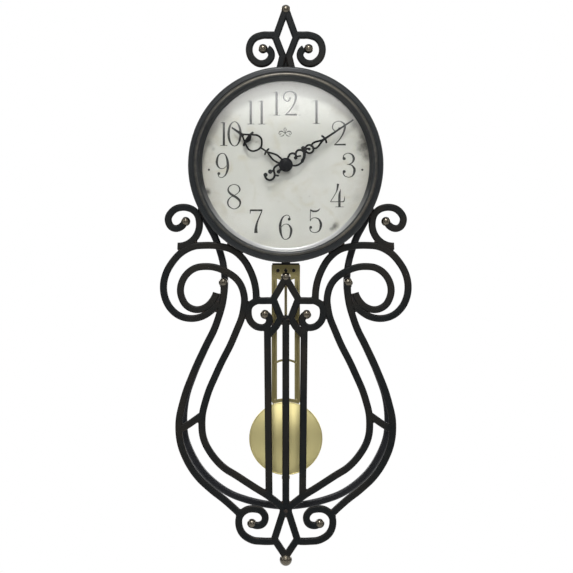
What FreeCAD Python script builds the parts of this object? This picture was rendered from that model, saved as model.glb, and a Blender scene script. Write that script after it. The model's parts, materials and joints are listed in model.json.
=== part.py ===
import FreeCAD, Part
import math
import os

import Sketcher
from FreeCAD import Matrix, Placement, Rotation, Vector

# A wrought-iron pendulum wall clock, in millimetres.
# The wall is the plane y = 0, the clock faces -Y, +Z is up, and x = 0 is its centreline.
# The origin is the keyhole that it hangs by. Outlines of the front are (x, z) pairs measured
# from the centre of the dial, which hangs hanger_drop below the origin.

os.makedirs("parts", exist_ok=True)
doc = FreeCAD.newDocument("PendulumWallClock")

# ---------------------------------------------------------------- driving dimensions

SIZES = {
    # iron frame
    "bar_width": 9.5,
    "bar_corner": 2.3,
    "front_plane": 42,
    "rear_plane": 4.8,
    "ball_radius": 6.4,
    "small_ball_radius": 5.8,
    "drop_ball_radius": 8.3,
    "stud_radius": 4.5,
    # case
    "hanger_drop": 98,
    "drum_radius": 131,
    "drum_wall": 1.2,
    "drum_depth": 50,
    "bezel_radius": 131.5,
    "bezel_front": 59.5,
    "bezel_lip_radius": 112.6,
    "ridge_radius": 120.4,
    "ridge_half": 2.8,
    "glass_radius": 118,
    "glass_bulge": 5,
    "glass_thick": 2,
    "dial_front": 38,
    "dial_thick": 1,
    "cover_back": 1.5,
    "cover_thick": 2,
    "keyhole_radius": 4.75,
    "keyhole_slot": 4.6,
    "slot_width": 54,
    # movement
    "movement_width": 60,
    "movement_top": 34,
    "movement_bottom": 56,
    "movement_front": 36.9,
    "movement_back": 19,
    "shell_wall": 1.5,
    "stem_radius": 4,
    "hour_pipe_radius": 2.2,
    "arbor_radius": 1.3,
    "running_gap": 0.05,
    "motion_module": 0.6,
    "hour_module": 0.576,
    "tooth_width": 1.2,
    "battery_radius": 7.1,
    "battery_length": 49.2,
    "knob_radius": 5,
    # hands
    "hand_thick": 0.6,
    "hour_hand_front": 45,
    "minute_hand_front": 47,
    "hub_radius": 7.5,
    "cap_radius": 9.5,
    # pendulum
    "pivot_height": 25,
    "pivot_radius": 1.5,
    "sheet_front": 12.3,
    "sheet_thick": 0.8,
    "leader_width": 12,
    "leader_thick": 2.5,
    "plate_width": 39,
    "plate_top": 134.4,
    "strip_width": 7.4,
    "strip_spacing": 31.4,
    "rod_radius": 1.9,
    "bob_radius": 50,
    "bob_drop": 372,
    "bob_dome": 8.2,
    "nut_radius": 5.5,
}

sheet = doc.addObject("Spreadsheet::Sheet", "Sizes")
for row, (alias, value) in enumerate(SIZES.items(), start=1):
    sheet.set(f"A{row}", alias)
    sheet.set(f"B{row}", str(value))
    sheet.setAlias(f"B{row}", alias)
doc.recompute()


class Size:
    """A length as its number and as the expression that binds a property to the sheet."""

    def __init__(self, number, text):
        self.number = float(number)
        self.text = text

    def __add__(self, other):
        other = sized(other)
        return Size(self.number + other.number, f"({self.text} + {other.text})")

    def __sub__(self, other):
        other = sized(other)
        return Size(self.number - other.number, f"({self.text} - {other.text})")

    def __mul__(self, factor):
        return Size(self.number * factor, f"({self.text} * {factor})")

    def __truediv__(self, divisor):
        return Size(self.number / divisor, f"({self.text} / {divisor})")

    def __neg__(self):
        return Size(-self.number, f"(0 - {self.text})")


def sized(value):
    if isinstance(value, Size):
        return value
    return Size(value, f"{value:.6f}")


def cell(alias):
    return Size(sheet.get(alias), f"Sizes.{alias}")


def bind(obj, **values):
    """Set properties from sizes, and keep them bound to the sheet."""
    for name, value in values.items():
        value = sized(value)
        setattr(obj, name, value.number)
        obj.setExpression(name, value.text)


def place(obj, x=0, y=0, z=0, rotation=Rotation()):
    """Put an object at a point whose coordinates may be sizes from the sheet."""
    spot = [sized(value) for value in (x, y, z)]
    obj.Placement = Placement(Vector(*[value.number for value in spot]), rotation)
    for axis, value in zip("xyz", spot):
        if "Sizes" in value.text:
            obj.setExpression(f"Placement.Base.{axis}", value.text)
    return obj


# ---------------------------------------------------------------- building blocks

FORWARD = Rotation(Vector(1, 0, 0), 90)      # turns +Z to -Y, out of the wall
ACROSS = Rotation(Vector(0, 1, 0), 90)       # turns +Z to +X
bar_w = cell("bar_width")
dial_z = -cell("hanger_drop")
nodes = []


def node(obj, label):
    """Name a finished sub-part, which is written to its own file."""
    obj.Label = label
    nodes.append(obj)
    return obj


def from_dial(z):
    """Height in the clock's frame of a height above the centre of the dial."""
    return dial_z + z


def box(name, size_x, size_y, size_z, x, y, z):
    obj = doc.addObject("Part::Box", name)
    bind(obj, Length=size_x, Width=size_y, Height=size_z)
    return place(obj, x, y, z)


def cylinder(name, radius, length, x, y, z, rotation=FORWARD):
    obj = doc.addObject("Part::Cylinder", name)
    bind(obj, Radius=radius, Height=length)
    return place(obj, x, y, z, rotation)


def tube(name, outer, inner, length, x, y, z, rotation=FORWARD):
    body = cylinder(name + "_body", outer, length, x, y, z, rotation)
    bore = cylinder(name + "_bore", inner, length, x, y, z, rotation)
    return cut(name, body, bore)


def cut(name, base, *tools):
    for number, tool in enumerate(tools, start=1):
        obj = doc.addObject("Part::Cut", f"{name}_cut{number}")
        obj.Base = base
        obj.Tool = tool
        base = obj
    return base


def fuse(name, *shapes):
    obj = doc.addObject("Part::MultiFuse", name)
    obj.Shapes = list(shapes)
    return obj


def group(name, *shapes):
    """Separate solids that share one node."""
    obj = doc.addObject("Part::Compound", name)
    obj.Links = list(shapes)
    return obj


def main_piece(name, source):
    """The largest solid of a trimmed bar, without the offcuts that its weld joints leave."""
    doc.recompute()
    obj = doc.addObject("Part::Feature", name)
    obj.Shape = max(source.Shape.Solids, key=lambda solid: solid.Volume)
    return obj


def mirrored(name, source):
    obj = doc.addObject("Part::Mirroring", name)
    obj.Source = source
    obj.Base = Vector(0, 0, 0)
    obj.Normal = Vector(1, 0, 0)
    return obj


def body_sketch(name, plane):
    """A PartDesign body and its first sketch, on one of the body's own planes."""
    body = doc.addObject("PartDesign::Body", name)
    sketch = body.newObject("Sketcher::SketchObject", name + "_outline")
    origin = [item for item in body.Origin.OriginFeatures if item.Role == plane][0]
    sketch.AttachmentSupport = [(origin, "")]
    sketch.MapMode = "FlatFace"
    return body, sketch


def constrain(sketch, kind, value, *where):
    index = sketch.addConstraint(Sketcher.Constraint(kind, *where, value.number))
    if "Sizes" in value.text:
        sketch.setExpression(f"Constraints[{index}]", value.text)


def arc_between(start, end, radius, turn):
    """The shorter arc from start to end: turn is 1 to the left and -1 to the right."""
    chord = end - start
    height = math.sqrt(radius ** 2 - chord.Length ** 2 / 4)
    centre = (start + end) * 0.5 + Vector(-chord.y, chord.x, 0).normalize() * height * turn
    first, last = (start, end) if turn > 0 else (end, start)
    begin = math.atan2(first.y - centre.y, first.x - centre.x)
    finish = math.atan2(last.y - centre.y, last.x - centre.x)
    if finish < begin:
        finish += 2 * math.pi
    return Part.ArcOfCircle(Part.Circle(centre, Vector(0, 0, 1), radius), begin, finish)


def draw_outline(sketch, corners):
    """Close an outline: a corner is (x, y), or (x, y, radius, turn) where an arc leaves it."""
    corners = [(sized(c[0]), sized(c[1])) + tuple(c[2:]) for c in corners]
    ends = []
    for here, there in zip(corners, corners[1:] + corners[:1]):
        start = Vector(here[0].number, here[1].number, 0)
        end = Vector(there[0].number, there[1].number, 0)
        if len(here) == 2:
            sketch.addGeometry(Part.LineSegment(start, end))
            ends.append((1, 2))
        else:
            radius, turn = sized(here[2]), here[3]
            sketch.addGeometry(arc_between(start, end, radius.number, turn))
            ends.append((1, 2) if turn > 0 else (2, 1))
    for index, corner in enumerate(corners):
        following = (index + 1) % len(corners)
        joint = (index, ends[index][1], following, ends[following][0])
        sketch.addConstraint(Sketcher.Constraint("Coincident", *joint))
        constrain(sketch, "DistanceX", corner[0], index, ends[index][0])
        constrain(sketch, "DistanceY", corner[1], index, ends[index][0])
        if len(corner) > 2:
            constrain(sketch, "Radius", sized(corner[2]), index)


def turned(name, corners, x=0, z=dial_z):
    """A piece turned about an axis square to the wall, from (radius, y) corners."""
    body, sketch = body_sketch(name, "XY_Plane")
    draw_outline(sketch, corners)
    doc.recompute()
    turn = body.newObject("PartDesign::Revolution", name + "_turned")
    turn.Profile = sketch
    turn.ReferenceAxis = (sketch, ["V_Axis"])
    turn.Angle = 360
    return place(body, x, 0, z)


def flat(name, corners, thickness, back, z=dial_z):
    """A flat piece cut to an (x, z) outline, its back this far from the wall."""
    body, sketch = body_sketch(name, "XZ_Plane")
    draw_outline(sketch, corners)
    doc.recompute()
    pad = body.newObject("PartDesign::Pad", name + "_pad")
    pad.Profile = sketch
    bind(pad, Length=thickness)
    return place(body, 0, -sized(back), z)


# ---------------------------------------------------------------- paths of bars and strokes

def arc_towards(start, direction, end):
    """One arc, or a straight line, that leaves start in a direction and meets end."""
    chord = end - start
    along = Vector(chord).normalize()
    side = direction - along * direction.dot(along)
    if side.Length < 1e-4:
        return Part.LineSegment(start, end)
    angle = math.atan2(side.Length, direction.dot(along))
    rise = Vector(side).normalize() * (chord.Length / 2 * math.tan(angle / 2))
    return Part.Arc(start, (start + end) * 0.5 + rise, end)


def mirror_direction(direction, chord):
    along = Vector(chord).normalize()
    return (along * (2 * direction.dot(along)) - direction).normalize()


def smooth_path(points, closed=False):
    """Tangent arcs through the points, two for each span, the way a bar is bent."""
    count = len(points)
    tangents = []
    for index, point in enumerate(points):
        before = point - points[index - 1]
        after = points[(index + 1) % count] - point
        lean = before * (1 / before.Length ** 2) + after * (1 / after.Length ** 2)
        tangents.append(lean.normalize())
    if not closed:
        tangents[0] = mirror_direction(tangents[1], points[1] - points[0])
        tangents[-1] = mirror_direction(tangents[-2], points[-1] - points[-2])
    pieces = []
    for index in range(count if closed else count - 1):
        following = (index + 1) % count
        start, end = points[index], points[following]
        leave, arrive = tangents[index], tangents[following]
        chord = end - start
        both = leave + arrive
        spread = 2 * (1 - leave.dot(arrive))
        if spread < 1e-9:
            reach = chord.dot(chord) / (4 * chord.dot(arrive))
        else:
            root = math.sqrt(chord.dot(both) ** 2 + spread * chord.dot(chord))
            reach = (root - chord.dot(both)) / spread
        joint = (start + end + (leave - arrive) * reach) * 0.5
        pieces.append(arc_towards(start, leave, joint))
        pieces.append(arc_towards(joint, mirror_direction(leave, joint - start), end))
    return [piece.toShape() for piece in pieces], tangents[0]


def bent_path(points):
    """Straight runs that meet at mitred corners."""
    runs = [Part.LineSegment(a, b).toShape() for a, b in zip(points, points[1:])]
    return runs, (points[1] - points[0]).normalize()


def section_sketch(name, width, depth, corner):
    """The rounded rectangle of a bar, its width across the path and its depth along y."""
    sketch = doc.addObject("Sketcher::SketchObject", name)
    half_w, half_d, radius = width.number / 2, depth.number / 2, corner.number
    spots = [(half_w - radius, -half_d + radius, -90), (half_w - radius, half_d - radius, 0),
             (-half_w + radius, half_d - radius, 90), (-half_w + radius, -half_d + radius, 180)]
    for x, y, angle in spots:
        circle = Part.Circle(Vector(x, y, 0), Vector(0, 0, 1), radius)
        sketch.addGeometry(Part.ArcOfCircle(circle, math.radians(angle), math.radians(angle + 90)))
    for index in range(4):
        start = sketch.Geometry[index].EndPoint
        end = sketch.Geometry[(index + 1) % 4].StartPoint
        sketch.addGeometry(Part.LineSegment(start, end))
    for index in range(4):
        following = (index + 1) % 4
        sketch.addConstraint(Sketcher.Constraint("Tangent", index, 2, index + 4, 1))
        sketch.addConstraint(Sketcher.Constraint("Tangent", index + 4, 2, following, 1))
    for index in range(3):
        sketch.addConstraint(Sketcher.Constraint("Equal", index, index + 1))
    sketch.addConstraint(Sketcher.Constraint("Vertical", 4))
    sketch.addConstraint(Sketcher.Constraint("Horizontal", 5))
    sketch.addConstraint(Sketcher.Constraint("Vertical", 6))
    sketch.addConstraint(Sketcher.Constraint("Symmetric", 4, 1, 6, 1, -1, 1))
    constrain(sketch, "DistanceX", width, 6, 1, 4, 1)
    constrain(sketch, "DistanceY", depth, 7, 1, 5, 1)
    constrain(sketch, "Radius", corner, 0)
    return sketch


def bar(name, points, width=bar_w, depth=bar_w, corner=cell("bar_corner"),
        plane=cell("front_plane"), mitred=False):
    """A bar swept along (x, z) points, in a plane parallel to the wall."""
    spots = [Vector(x, z, 0) for x, z in points]
    edges, direction = bent_path(spots) if mitred else smooth_path(spots)
    path = doc.addObject("Part::Feature", name + "_path")
    path.Shape = Part.Wire(edges)
    place(path, 0, -plane, dial_z, FORWARD)
    section = section_sketch(name + "_section", sized(width), sized(depth), sized(corner))
    ahead = FORWARD.multVec(direction)
    back = Vector(0, 1, 0)
    side = back.cross(ahead)
    frame = Matrix(side.x, back.x, ahead.x, 0, side.y, back.y, ahead.y, 0,
                   side.z, back.z, ahead.z, 0, 0, 0, 0, 1)
    start = points[0]
    place(section, start[0], -plane, dial_z + start[1], Placement(frame).Rotation)
    sweep = doc.addObject("Part::Sweep", name)
    sweep.Sections = [section]
    sweep.Spine = (path, [f"Edge{number + 1}" for number in range(len(edges))])
    sweep.Solid = True
    sweep.Frenet = False
    sweep.Transition = "Right corner" if mitred else "Transformed"
    return sweep


def ball(name, x, z, radius):
    obj = doc.addObject("Part::Sphere", name)
    bind(obj, Radius=radius)
    return place(obj, x, -cell("front_plane"), from_dial(z))


# ---------------------------------------------------------------- iron frame

# Shapes that a bar is trimmed against so that welded bars meet without sharing metal.
left_half = box("left_half", 60, 60, 900, -60, -70, -760)
drum_space = cylinder("drum_space", cell("drum_radius"), 90, 0, 20, dial_z)
bezel_space = cylinder("bezel_space", cell("bezel_radius"), 20, 0, -cell("drum_depth"), dial_z)

BALLS = {
    "finial_balls": [(0, 210.3, "ball_radius"), (30.8, 157.2, "ball_radius")],
    "side_balls": [(135.4, -76.2, "ball_radius")],
    "middle_balls": [(0, -151, "small_ball_radius"), (28.2, -201.7, "small_ball_radius"),
                     (84.4, -158.4, "small_ball_radius")],
    "drop_balls": [(0, -533.2, "drop_ball_radius"), (45.8, -484.2, "ball_radius")],
}
right_balls = {}
for name, spots in BALLS.items():
    solids = []
    for number, (x, z, radius) in enumerate(spots, start=1):
        solid = ball(f"{name}_{number}", x, z, cell(radius))
        right_balls[f"{name}_{number}"] = solid
        solids.append(solid)
        if x > 0:
            solids.append(mirrored(f"{name}_{number}_left", solid))
    node(group(name, *solids), name)

BARS = {
    "string_middle": [(0, -203), (0, -463.5)],
    "finial_bar": [(9.2, 126), (4.1, 147.2), (13.8, 172), (1.6, 206)],
    "finial_scroll": [(13.4, 175.5), (22, 175.5), (31.4, 175.3), (44, 169.8), (49.4, 157),
                      (45, 143.2), (33.6, 136.9), (22.8, 141), (19.3, 149.8), (24.3, 157.2)],
    "inner_lyre": [(93.8, -172.6), (98.6, -182.6), (108.2, -191.9), (120, -195.3), (132.4, -191),
                   (141.2, -177), (138.4, -153.8), (124, -139.9), (105.2, -137), (81.4, -143.6),
                   (63.2, -158), (56, -178.5), (57.3, -196.2), (69.7, -231.3), (91.8, -277.2),
                   (106.3, -312), (113.2, -343), (110.4, -371.5), (99.3, -391.8),
                   (84.4, -408), (65.5, -420.2), (43.5, -434.5), (22.6, -447.7), (2.5, -464.2)],
    "drop_bar": [(3.4, -463.9), (4, -470), (15.4, -505.4), (1.5, -526.4)],
    "drop_scroll": [(14, -507.7), (30, -508.2), (47, -505.8), (58.8, -497.2),
                    (63.4, -485.5), (61.9, -474), (54.4, -466.5), (43.1, -464.4),
                    (32.6, -467.6), (27.8, -476.2), (30.4, -483.8), (38.2, -486.9),
                    (43.5, -485.6)],
    "outer_lyre": [(83.6, -160), (83.6, -173), (85.6, -187), (90.3, -204), (96.8, -221.7),
                   (106.2, -240.5), (123.3, -277.2), (137.4, -314.8), (144.4, -350),
                   (142, -376), (133.4, -398.8), (118.6, -421.2), (100.6, -438.3),
                   (81.7, -453.2), (62.5, -470.8)],
    "crest_bar": [(1.2, -154.5), (16.8, -181), (6.8, -206.6), (12.8, -217.5), (23.5, -229.5)],
    "crest_scroll": [(15.5, -183.3), (29, -183.2), (40.6, -184.1), (49, -190.5), (50.6, -201),
                     (46.6, -212.3), (37.6, -218.8), (28.4, -218.7), (22.8, -213),
                     (22.6, -206), (26.5, -202)],
    "big_scroll": [(40, -181), (41.8, -160.9), (48.4, -141.9), (58.2, -126.2), (71.5, -115),
                   (89.2, -109.6), (108.2, -108.4), (125.8, -110.3), (140.5, -117.8),
                   (153.4, -131.4), (162, -147), (165.2, -163), (163.4, -178.3), (156.4, -192.6),
                   (144.8, -202.9), (128.8, -207.2), (114, -204.8), (101.5, -197.3),
                   (91, -186)],
    "side_scroll": [(146.2, -109.4), (133.5, -107), (122.1, -97.4), (116.6, -80),
                    (121.2, -64.3), (137, -57), (152.5, -61.8), (158.8, -74.4), (151.4, -85.2),
                    (141.4, -83.2), (138.2, -79.6)],
    "string": [(24.9, -215), (22.6, -448)],
    "lyre_strut": [(112.5, -337), (122, -343.8), (132.5, -351), (145, -357.5)],
}
MITRED = {"string_middle", "finial_bar", "drop_bar", "crest_bar", "string"}

# What each bar is trimmed by, besides the balls that its ends carry.
TRIMS = {
    "string_middle": [],
    "finial_bar": ["left_half", "drum_space", "finial_balls_1"],
    "finial_scroll": ["finial_bar", "finial_balls_2"],
    "inner_lyre": ["left_half", "string_middle"],
    "drop_bar": ["left_half", "string_middle", "inner_lyre", "drop_balls_1"],
    "drop_scroll": ["drop_bar", "drop_balls_2"],
    "outer_lyre": ["drop_scroll", "middle_balls_3"],
    "crest_bar": ["left_half", "string_middle", "middle_balls_1"],
    "crest_scroll": ["crest_bar", "inner_lyre", "middle_balls_2"],
    "big_scroll": ["crest_scroll", "outer_lyre", "inner_lyre", "drum_space", "bezel_space"],
    "side_scroll": ["big_scroll", "drum_space", "bezel_space", "side_balls_1"],
    "string": ["crest_bar", "crest_scroll", "inner_lyre"],
    "lyre_strut": ["inner_lyre", "outer_lyre"],
}
shapes = {"left_half": left_half, "drum_space": drum_space, "bezel_space": bezel_space}
shapes.update(right_balls)
for name, points in BARS.items():
    shapes[name] = bar(name + "_bar", points, mitred=name in MITRED)

for name, trims in TRIMS.items():
    trimmed = cut(name + "_trim", shapes[name], *[shapes[trim] for trim in trims])
    if trims:
        trimmed = main_piece(name + "_piece", trimmed)
    if name == "string_middle":
        node(trimmed, name)
    elif name == "lyre_strut":
        node(group("lyre_struts", trimmed, mirrored("lyre_strut_twin", trimmed)), "lyre_struts")
    else:
        node(trimmed, name + "_right")
        node(mirrored(name + "_twin", trimmed), name + "_left")

# A small plate fills the gap between the finial's feet, set back from their faces.
gusset = flat("gusset_plate", [(-8, 128), (8, 128), (2.5, 144), (-2.5, 144)], 3, 38.2)
feet = [shapes["finial_bar"], mirrored("finial_foot_twin", shapes["finial_bar"])]
gusset_cut = cut("gusset_cut", gusset, *feet, drum_space)
node(main_piece("gusset_piece", gusset_cut), "finial_gusset")

# The hanging loop behind the lyre: one bar in a U near the wall, its ends on the drum.
LOOP = [(116.5, -60), (107, -78), (97, -96.9), (90.6, -114.9), (85.9, -133), (84, -150), (84.2, -168),
        (88.3, -191), (97, -220), (110.8, -249), (126.2, -284), (137, -317), (140.2, -347.8),
        (138.3, -369.8), (129.4, -393.8), (114, -418.2), (97.4, -434.4), (77, -448),
        (52.8, -457.2), (31.8, -462.2)]
loop_path = LOOP + [(0, -465.4)] + [(-x, z) for x, z in reversed(LOOP)]
loop = bar("rear_loop_bar", loop_path, plane=cell("rear_plane"))
node(cut("rear_loop_trim", loop, drum_space), "rear_loop")

# Studs that hold the loop behind the front frame, at the lyre's foot and at its two tops.
stud_length = cell("front_plane") - cell("rear_plane") - bar_w
studs = [
    cylinder(f"stud_{number}", cell("stud_radius"), stud_length, x,
             -cell("rear_plane") - bar_w / 2, from_dial(z))
    for number, (x, z) in enumerate([(0, -465.5), (84, -168), (-84, -168)], start=1)
]
node(group("spacer_studs", *studs), "spacer_studs")

# ---------------------------------------------------------------- case

drum_r = cell("drum_radius")
inside_r = drum_r - cell("drum_wall")
front = cell("drum_depth")
cover_front = cell("cover_back") + cell("cover_thick")
dial_back = cell("dial_front") - cell("dial_thick")

drum = turned("drum_shell", [
    (drum_r, 0), (drum_r, -front), (inside_r, -front), (inside_r, -dial_back),
    (inside_r - 3, -dial_back), (inside_r - 3, -dial_back + 1), (inside_r, -dial_back + 1),
    (inside_r, -cover_front - 1.5), (inside_r - 9, -cover_front - 1.5),
    (inside_r - 9, -cover_front), (inside_r, -cover_front), (inside_r, 0),
])
swing_slot = box("swing_slot", cell("slot_width"), 10, 12, -cell("slot_width") / 2, -15,
                 from_dial(-134))

# Cover screws stand on a circle, a little off the diagonals.
screw_angles = [38, 142, 218, 322]
screw_circle = (inside_r - 4.5).number
screw_spots = [(screw_circle * math.cos(math.radians(a)), screw_circle * math.sin(math.radians(a)))
               for a in screw_angles]
screw_bores = [cylinder(f"screw_bore_{n}", 1.4, 8, x, 0, from_dial(z))
               for n, (x, z) in enumerate(screw_spots, start=1)]
node(cut("drum_cut", drum, swing_slot, *screw_bores), "drum")

ridge = cell("ridge_radius")
half = cell("ridge_half")
brow = cell("bezel_front")
lip = cell("bezel_lip_radius")
glass_r = cell("glass_radius")
node(turned("bezel_ring", [
    (cell("bezel_radius"), -front), (cell("bezel_radius"), -brow + 5, 3.6, -1),
    (cell("bezel_radius") - 3.4, -brow + 1.5), (ridge + half + 1.6, -brow + 0.8),
    (ridge + half + 1, -brow + 2.2), (ridge + half, -brow + 2.2, 3.1, -1),
    (ridge - half, -brow + 3.2), (ridge - half - 0.6, -brow + 3.4, 8.5, 1),
    (lip, -front - 1.6), (lip, -front - 0.6), (glass_r + 0.6, -front - 0.6),
    (glass_r + 0.6, -front + 0.8), (inside_r - 2, -front + 0.8),
    (inside_r - 2, -front + 2.5), (inside_r, -front + 2.5), (inside_r, -front),
]), "bezel")

# The glass is a shallow dome: both faces are arcs about the dial's own axis.
bulge = cell("glass_bulge")
dome = (glass_r.number ** 2 + bulge.number ** 2) / (2 * bulge.number)
node(turned("glass_dome", [
    (0, -front - bulge, dome, 1), (glass_r, -front),
    (glass_r, -front + cell("glass_thick"), dome, -1),
    (0, -front - bulge + cell("glass_thick")),
]), "glass")

glass_back = front - cell("glass_thick")
seat = cell("dial_front")
node(turned("seat_ring", [
    (lip + 1.4, -seat), (lip + 1.4, -glass_back), (lip + 3, -glass_back),
    (lip + 3, -seat - 1.2), (inside_r - 0.3, -seat - 1.2), (inside_r - 0.3, -seat),
]), "dial_ring")

dial_disc = cylinder("dial_disc", inside_r - 0.3, cell("dial_thick"), 0, -dial_back, dial_z)
stem_hole = cylinder("stem_hole", cell("stem_radius") + 0.3, 6, 0, -dial_back + 2, dial_z)
node(cut("dial_cut", dial_disc, stem_hole), "dial")

cover_disc = cylinder("cover_disc", inside_r - 0.3, cell("cover_thick"), 0,
                      -cell("cover_back"), dial_z)
access = box("access_hole", 70, 10, 100, -35, -9, from_dial(-62))
keyhole_room = box("keyhole_room", 16, 10, 26, -8, -9, -9)
cover_bores = [cylinder(f"cover_bore_{n}", 1.5, 8, x, 0, from_dial(z))
               for n, (x, z) in enumerate(screw_spots, start=1)]
node(cut("cover_cut", cover_disc, access, keyhole_room, *cover_bores), "back_cover")

plate = box("hanger_blank", 44, cell("cover_back"), 36, -22, -cell("cover_back"), -15)
key_head = cylinder("key_head", cell("keyhole_radius"), 6, 0, 2, 0)
slot_w = cell("keyhole_slot")
key_slot = box("key_slot", slot_w, 6, 11, -slot_w / 2, -4, 0)
key_top = cylinder("key_top", slot_w / 2, 6, 0, 2, 11)
node(cut("hanger_cut", plate, key_head, key_slot, key_top), "hanger_plate")

screws = []
for number, (x, z) in enumerate(screw_spots, start=1):
    head = cylinder(f"screw_head_{number}", 3, 1.2, x, -0.3, from_dial(z))
    shank = cylinder(f"screw_shank_{number}", 1.4, 7, x, -0.5, from_dial(z))
    screws.append(fuse(f"cover_screw_{number}", head, shank))
node(group("cover_screws", *screws), "cover_screws")

# ---------------------------------------------------------------- movement

ARBOR_X = 14.4                # motion arbor beside the hand arbor: both gear pairs share it
PRESSURE = math.radians(25)
WHEEL_BACK = {"hour": 33.8, "minute": 31.6, "centre": 28.8}
PLATE_GAP = 0.5               # between a wheel and the movement's front wall

wall = cell("shell_wall")
move_w = cell("movement_width")
move_front = cell("movement_front")
move_back = cell("movement_back")
move_top = cell("movement_top")
move_low = cell("movement_bottom")
arbor_r = cell("arbor_radius")
gap = cell("running_gap")
pipe_r = cell("hour_pipe_radius")
tooth_w = cell("tooth_width")


def gear(name, teeth, module, back, x, turn, thickness=tooth_w):
    """A spur wheel with involute flanks, one tooth pointing at the angle turn from +X."""
    pitch = module.number * teeth / 2
    base = pitch * math.cos(PRESSURE)
    tip = pitch + 0.75 * module.number
    root = pitch - 1.05 * module.number
    slack = 0.06 * module.number / pitch
    half_tooth = math.pi / (2 * teeth) - slack + math.tan(PRESSURE) - PRESSURE
    start = max(base, root)
    flank = [(root, half_tooth)]
    for step in range(5):
        radius = start + (tip - start) * step / 4
        roll = math.acos(min(1, base / radius))
        flank.append((radius, half_tooth - (math.tan(roll) - roll)))
    points = []
    for number in range(teeth):
        centre = 2 * math.pi * number / teeth
        rise = [(radius, centre - offset) for radius, offset in flank]
        fall = [(radius, centre + offset) for radius, offset in reversed(flank)]
        for radius, angle in rise + fall:
            points.append(Vector(radius * math.cos(angle), radius * math.sin(angle), 0))
    face = Part.Face(Part.makePolygon(points + points[:1]))
    obj = doc.addObject("Part::Feature", name)
    obj.Shape = face.extrude(Vector(0, 0, thickness.number))
    # Seen from the front, +X stays to the right and +Z is up.
    spin = FORWARD.multiply(Rotation(Vector(0, 0, 1), turn))
    return place(obj, x, -sized(back), dial_z, spin)


case_block = box("case_block", move_w, move_front - move_back, move_top + move_low,
                 -move_w / 2, -move_front, from_dial(-move_low))
case_room = box("case_room", move_w - wall * 2, move_front - move_back, move_top + move_low - wall * 2,
                -move_w / 2 + wall, -move_front + wall, from_dial(-move_low) + wall)
stem_length = 4.6
stem = cylinder("stem", cell("stem_radius"), stem_length, 0, -move_front, dial_z)
stem_bore = cylinder("stem_bore", pipe_r + gap, 30, 0, -move_back, dial_z)
shell = cut("movement_shell", case_block, case_room)
node(cut("movement_case_cut", fuse("movement_case_fuse", shell, stem), stem_bore), "movement_case")

pivot_z = from_dial(0) + cell("pivot_height")
cover_plate = box("cover_plate", move_w, wall, move_top + move_low,
                  -move_w / 2, -move_back, from_dial(-move_low))
pivot_boss = cylinder("pivot_boss", 3.5, 5.4, 0, -cell("sheet_front") + 0.2, pivot_z)
pivot_pin = cylinder("pivot_pin", cell("pivot_radius"), 6, 0, -7.2, pivot_z)
pin_head = cylinder("pin_head", 2.6, 0.8, 0, -7.2, pivot_z)
knob_bore = cylinder("knob_bore", arbor_r + gap, 6, ARBOR_X, -16, dial_z)
battery_bay = box("battery_bay", 52, 6, 15.2, -26, -20, from_dial(-53.6))
cover_parts = fuse("cover_fuse", cover_plate, pivot_boss, pivot_pin, pin_head)
node(cut("movement_cover_cut", cover_parts, knob_bore, battery_bay), "movement_cover")

battery_axis = (-27.6, from_dial(-46))
cell_body = cylinder("cell_body", cell("battery_radius"), cell("battery_length"),
                     -cell("battery_length") / 2 - 0.6, battery_axis[0], battery_axis[1], ACROSS)
cell_tip = cylinder("cell_tip", 2.7, 1.2, cell("battery_length") / 2 - 0.6, battery_axis[0],
                    battery_axis[1], ACROSS)
node(fuse("battery_fuse", cell_body, cell_tip), "battery")
contacts = [box(f"contact_{number}", 0.5, 9, 10, x, -32, from_dial(-51))
            for number, x in enumerate((-26.2, 25.6), start=1)]
node(group("contacts", *contacts), "battery_contacts")
node(box("board", 20, 1, 22, 7.5, -22.5, from_dial(-36)), "circuit_board")
node(box("motor", 20, 8, 17, -27, -30, from_dial(-33)), "clock_motor")
node(tube("coil", 6.2, 2.4, 5, 0, -19.6, from_dial(-29)), "drive_coil")

nut_blank = doc.addObject("Part::Prism", "nut_blank")
nut_blank.Polygon = 6
bind(nut_blank, Circumradius=7.5, Height=2.5)
place(nut_blank, 0, -cell("dial_front"), dial_z, FORWARD)
nut_bore = cylinder("nut_bore", cell("stem_radius"), 5, 0, -cell("dial_front") + 1, dial_z)
node(cut("nut_cut", nut_blank, nut_bore), "fixing_nut")

# Motion work: the hand arbor's 12 teeth drive 36, whose 10-tooth pinion drives 40.
motion = cell("motion_module")
hour_motion = cell("hour_module")
CANNON, MINUTE, PINION, HOUR = 12, 36, 10, 40
minute_front = cell("minute_hand_front")
hour_front = cell("hour_hand_front")
minute_back = sized(WHEEL_BACK["minute"])
hour_back = sized(WHEEL_BACK["hour"])
centre_back = sized(WHEEL_BACK["centre"])

cannon = gear("cannon_teeth", CANNON, motion, minute_back, 0, 0)
drive_disc = cylinder("drive_disc", 9, tooth_w, 0, -centre_back, dial_z)
drive_hub = cylinder("drive_hub", 2.4, 3, 0, -centre_back, dial_z)
arbor = cylinder("hand_arbor", arbor_r, minute_front + 0.6 - 19.8, 0, -19.8, dial_z)
node(fuse("centre_fuse", drive_disc, drive_hub, cannon, arbor), "centre_wheel")

half_pitch = 180 / MINUTE
minute_teeth = gear("minute_teeth", MINUTE, motion, minute_back, ARBOR_X, 180 + half_pitch)
pinion_teeth = gear("pinion_teeth", PINION, hour_motion, minute_back + tooth_w, ARBOR_X, 180,
                    hour_back + tooth_w - minute_back - tooth_w)
minute_arbor = cylinder("minute_arbor", arbor_r, move_front - wall - PLATE_GAP - 14, ARBOR_X,
                        -14, dial_z)
node(fuse("minute_fuse", minute_teeth, pinion_teeth, minute_arbor), "minute_wheel")

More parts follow.
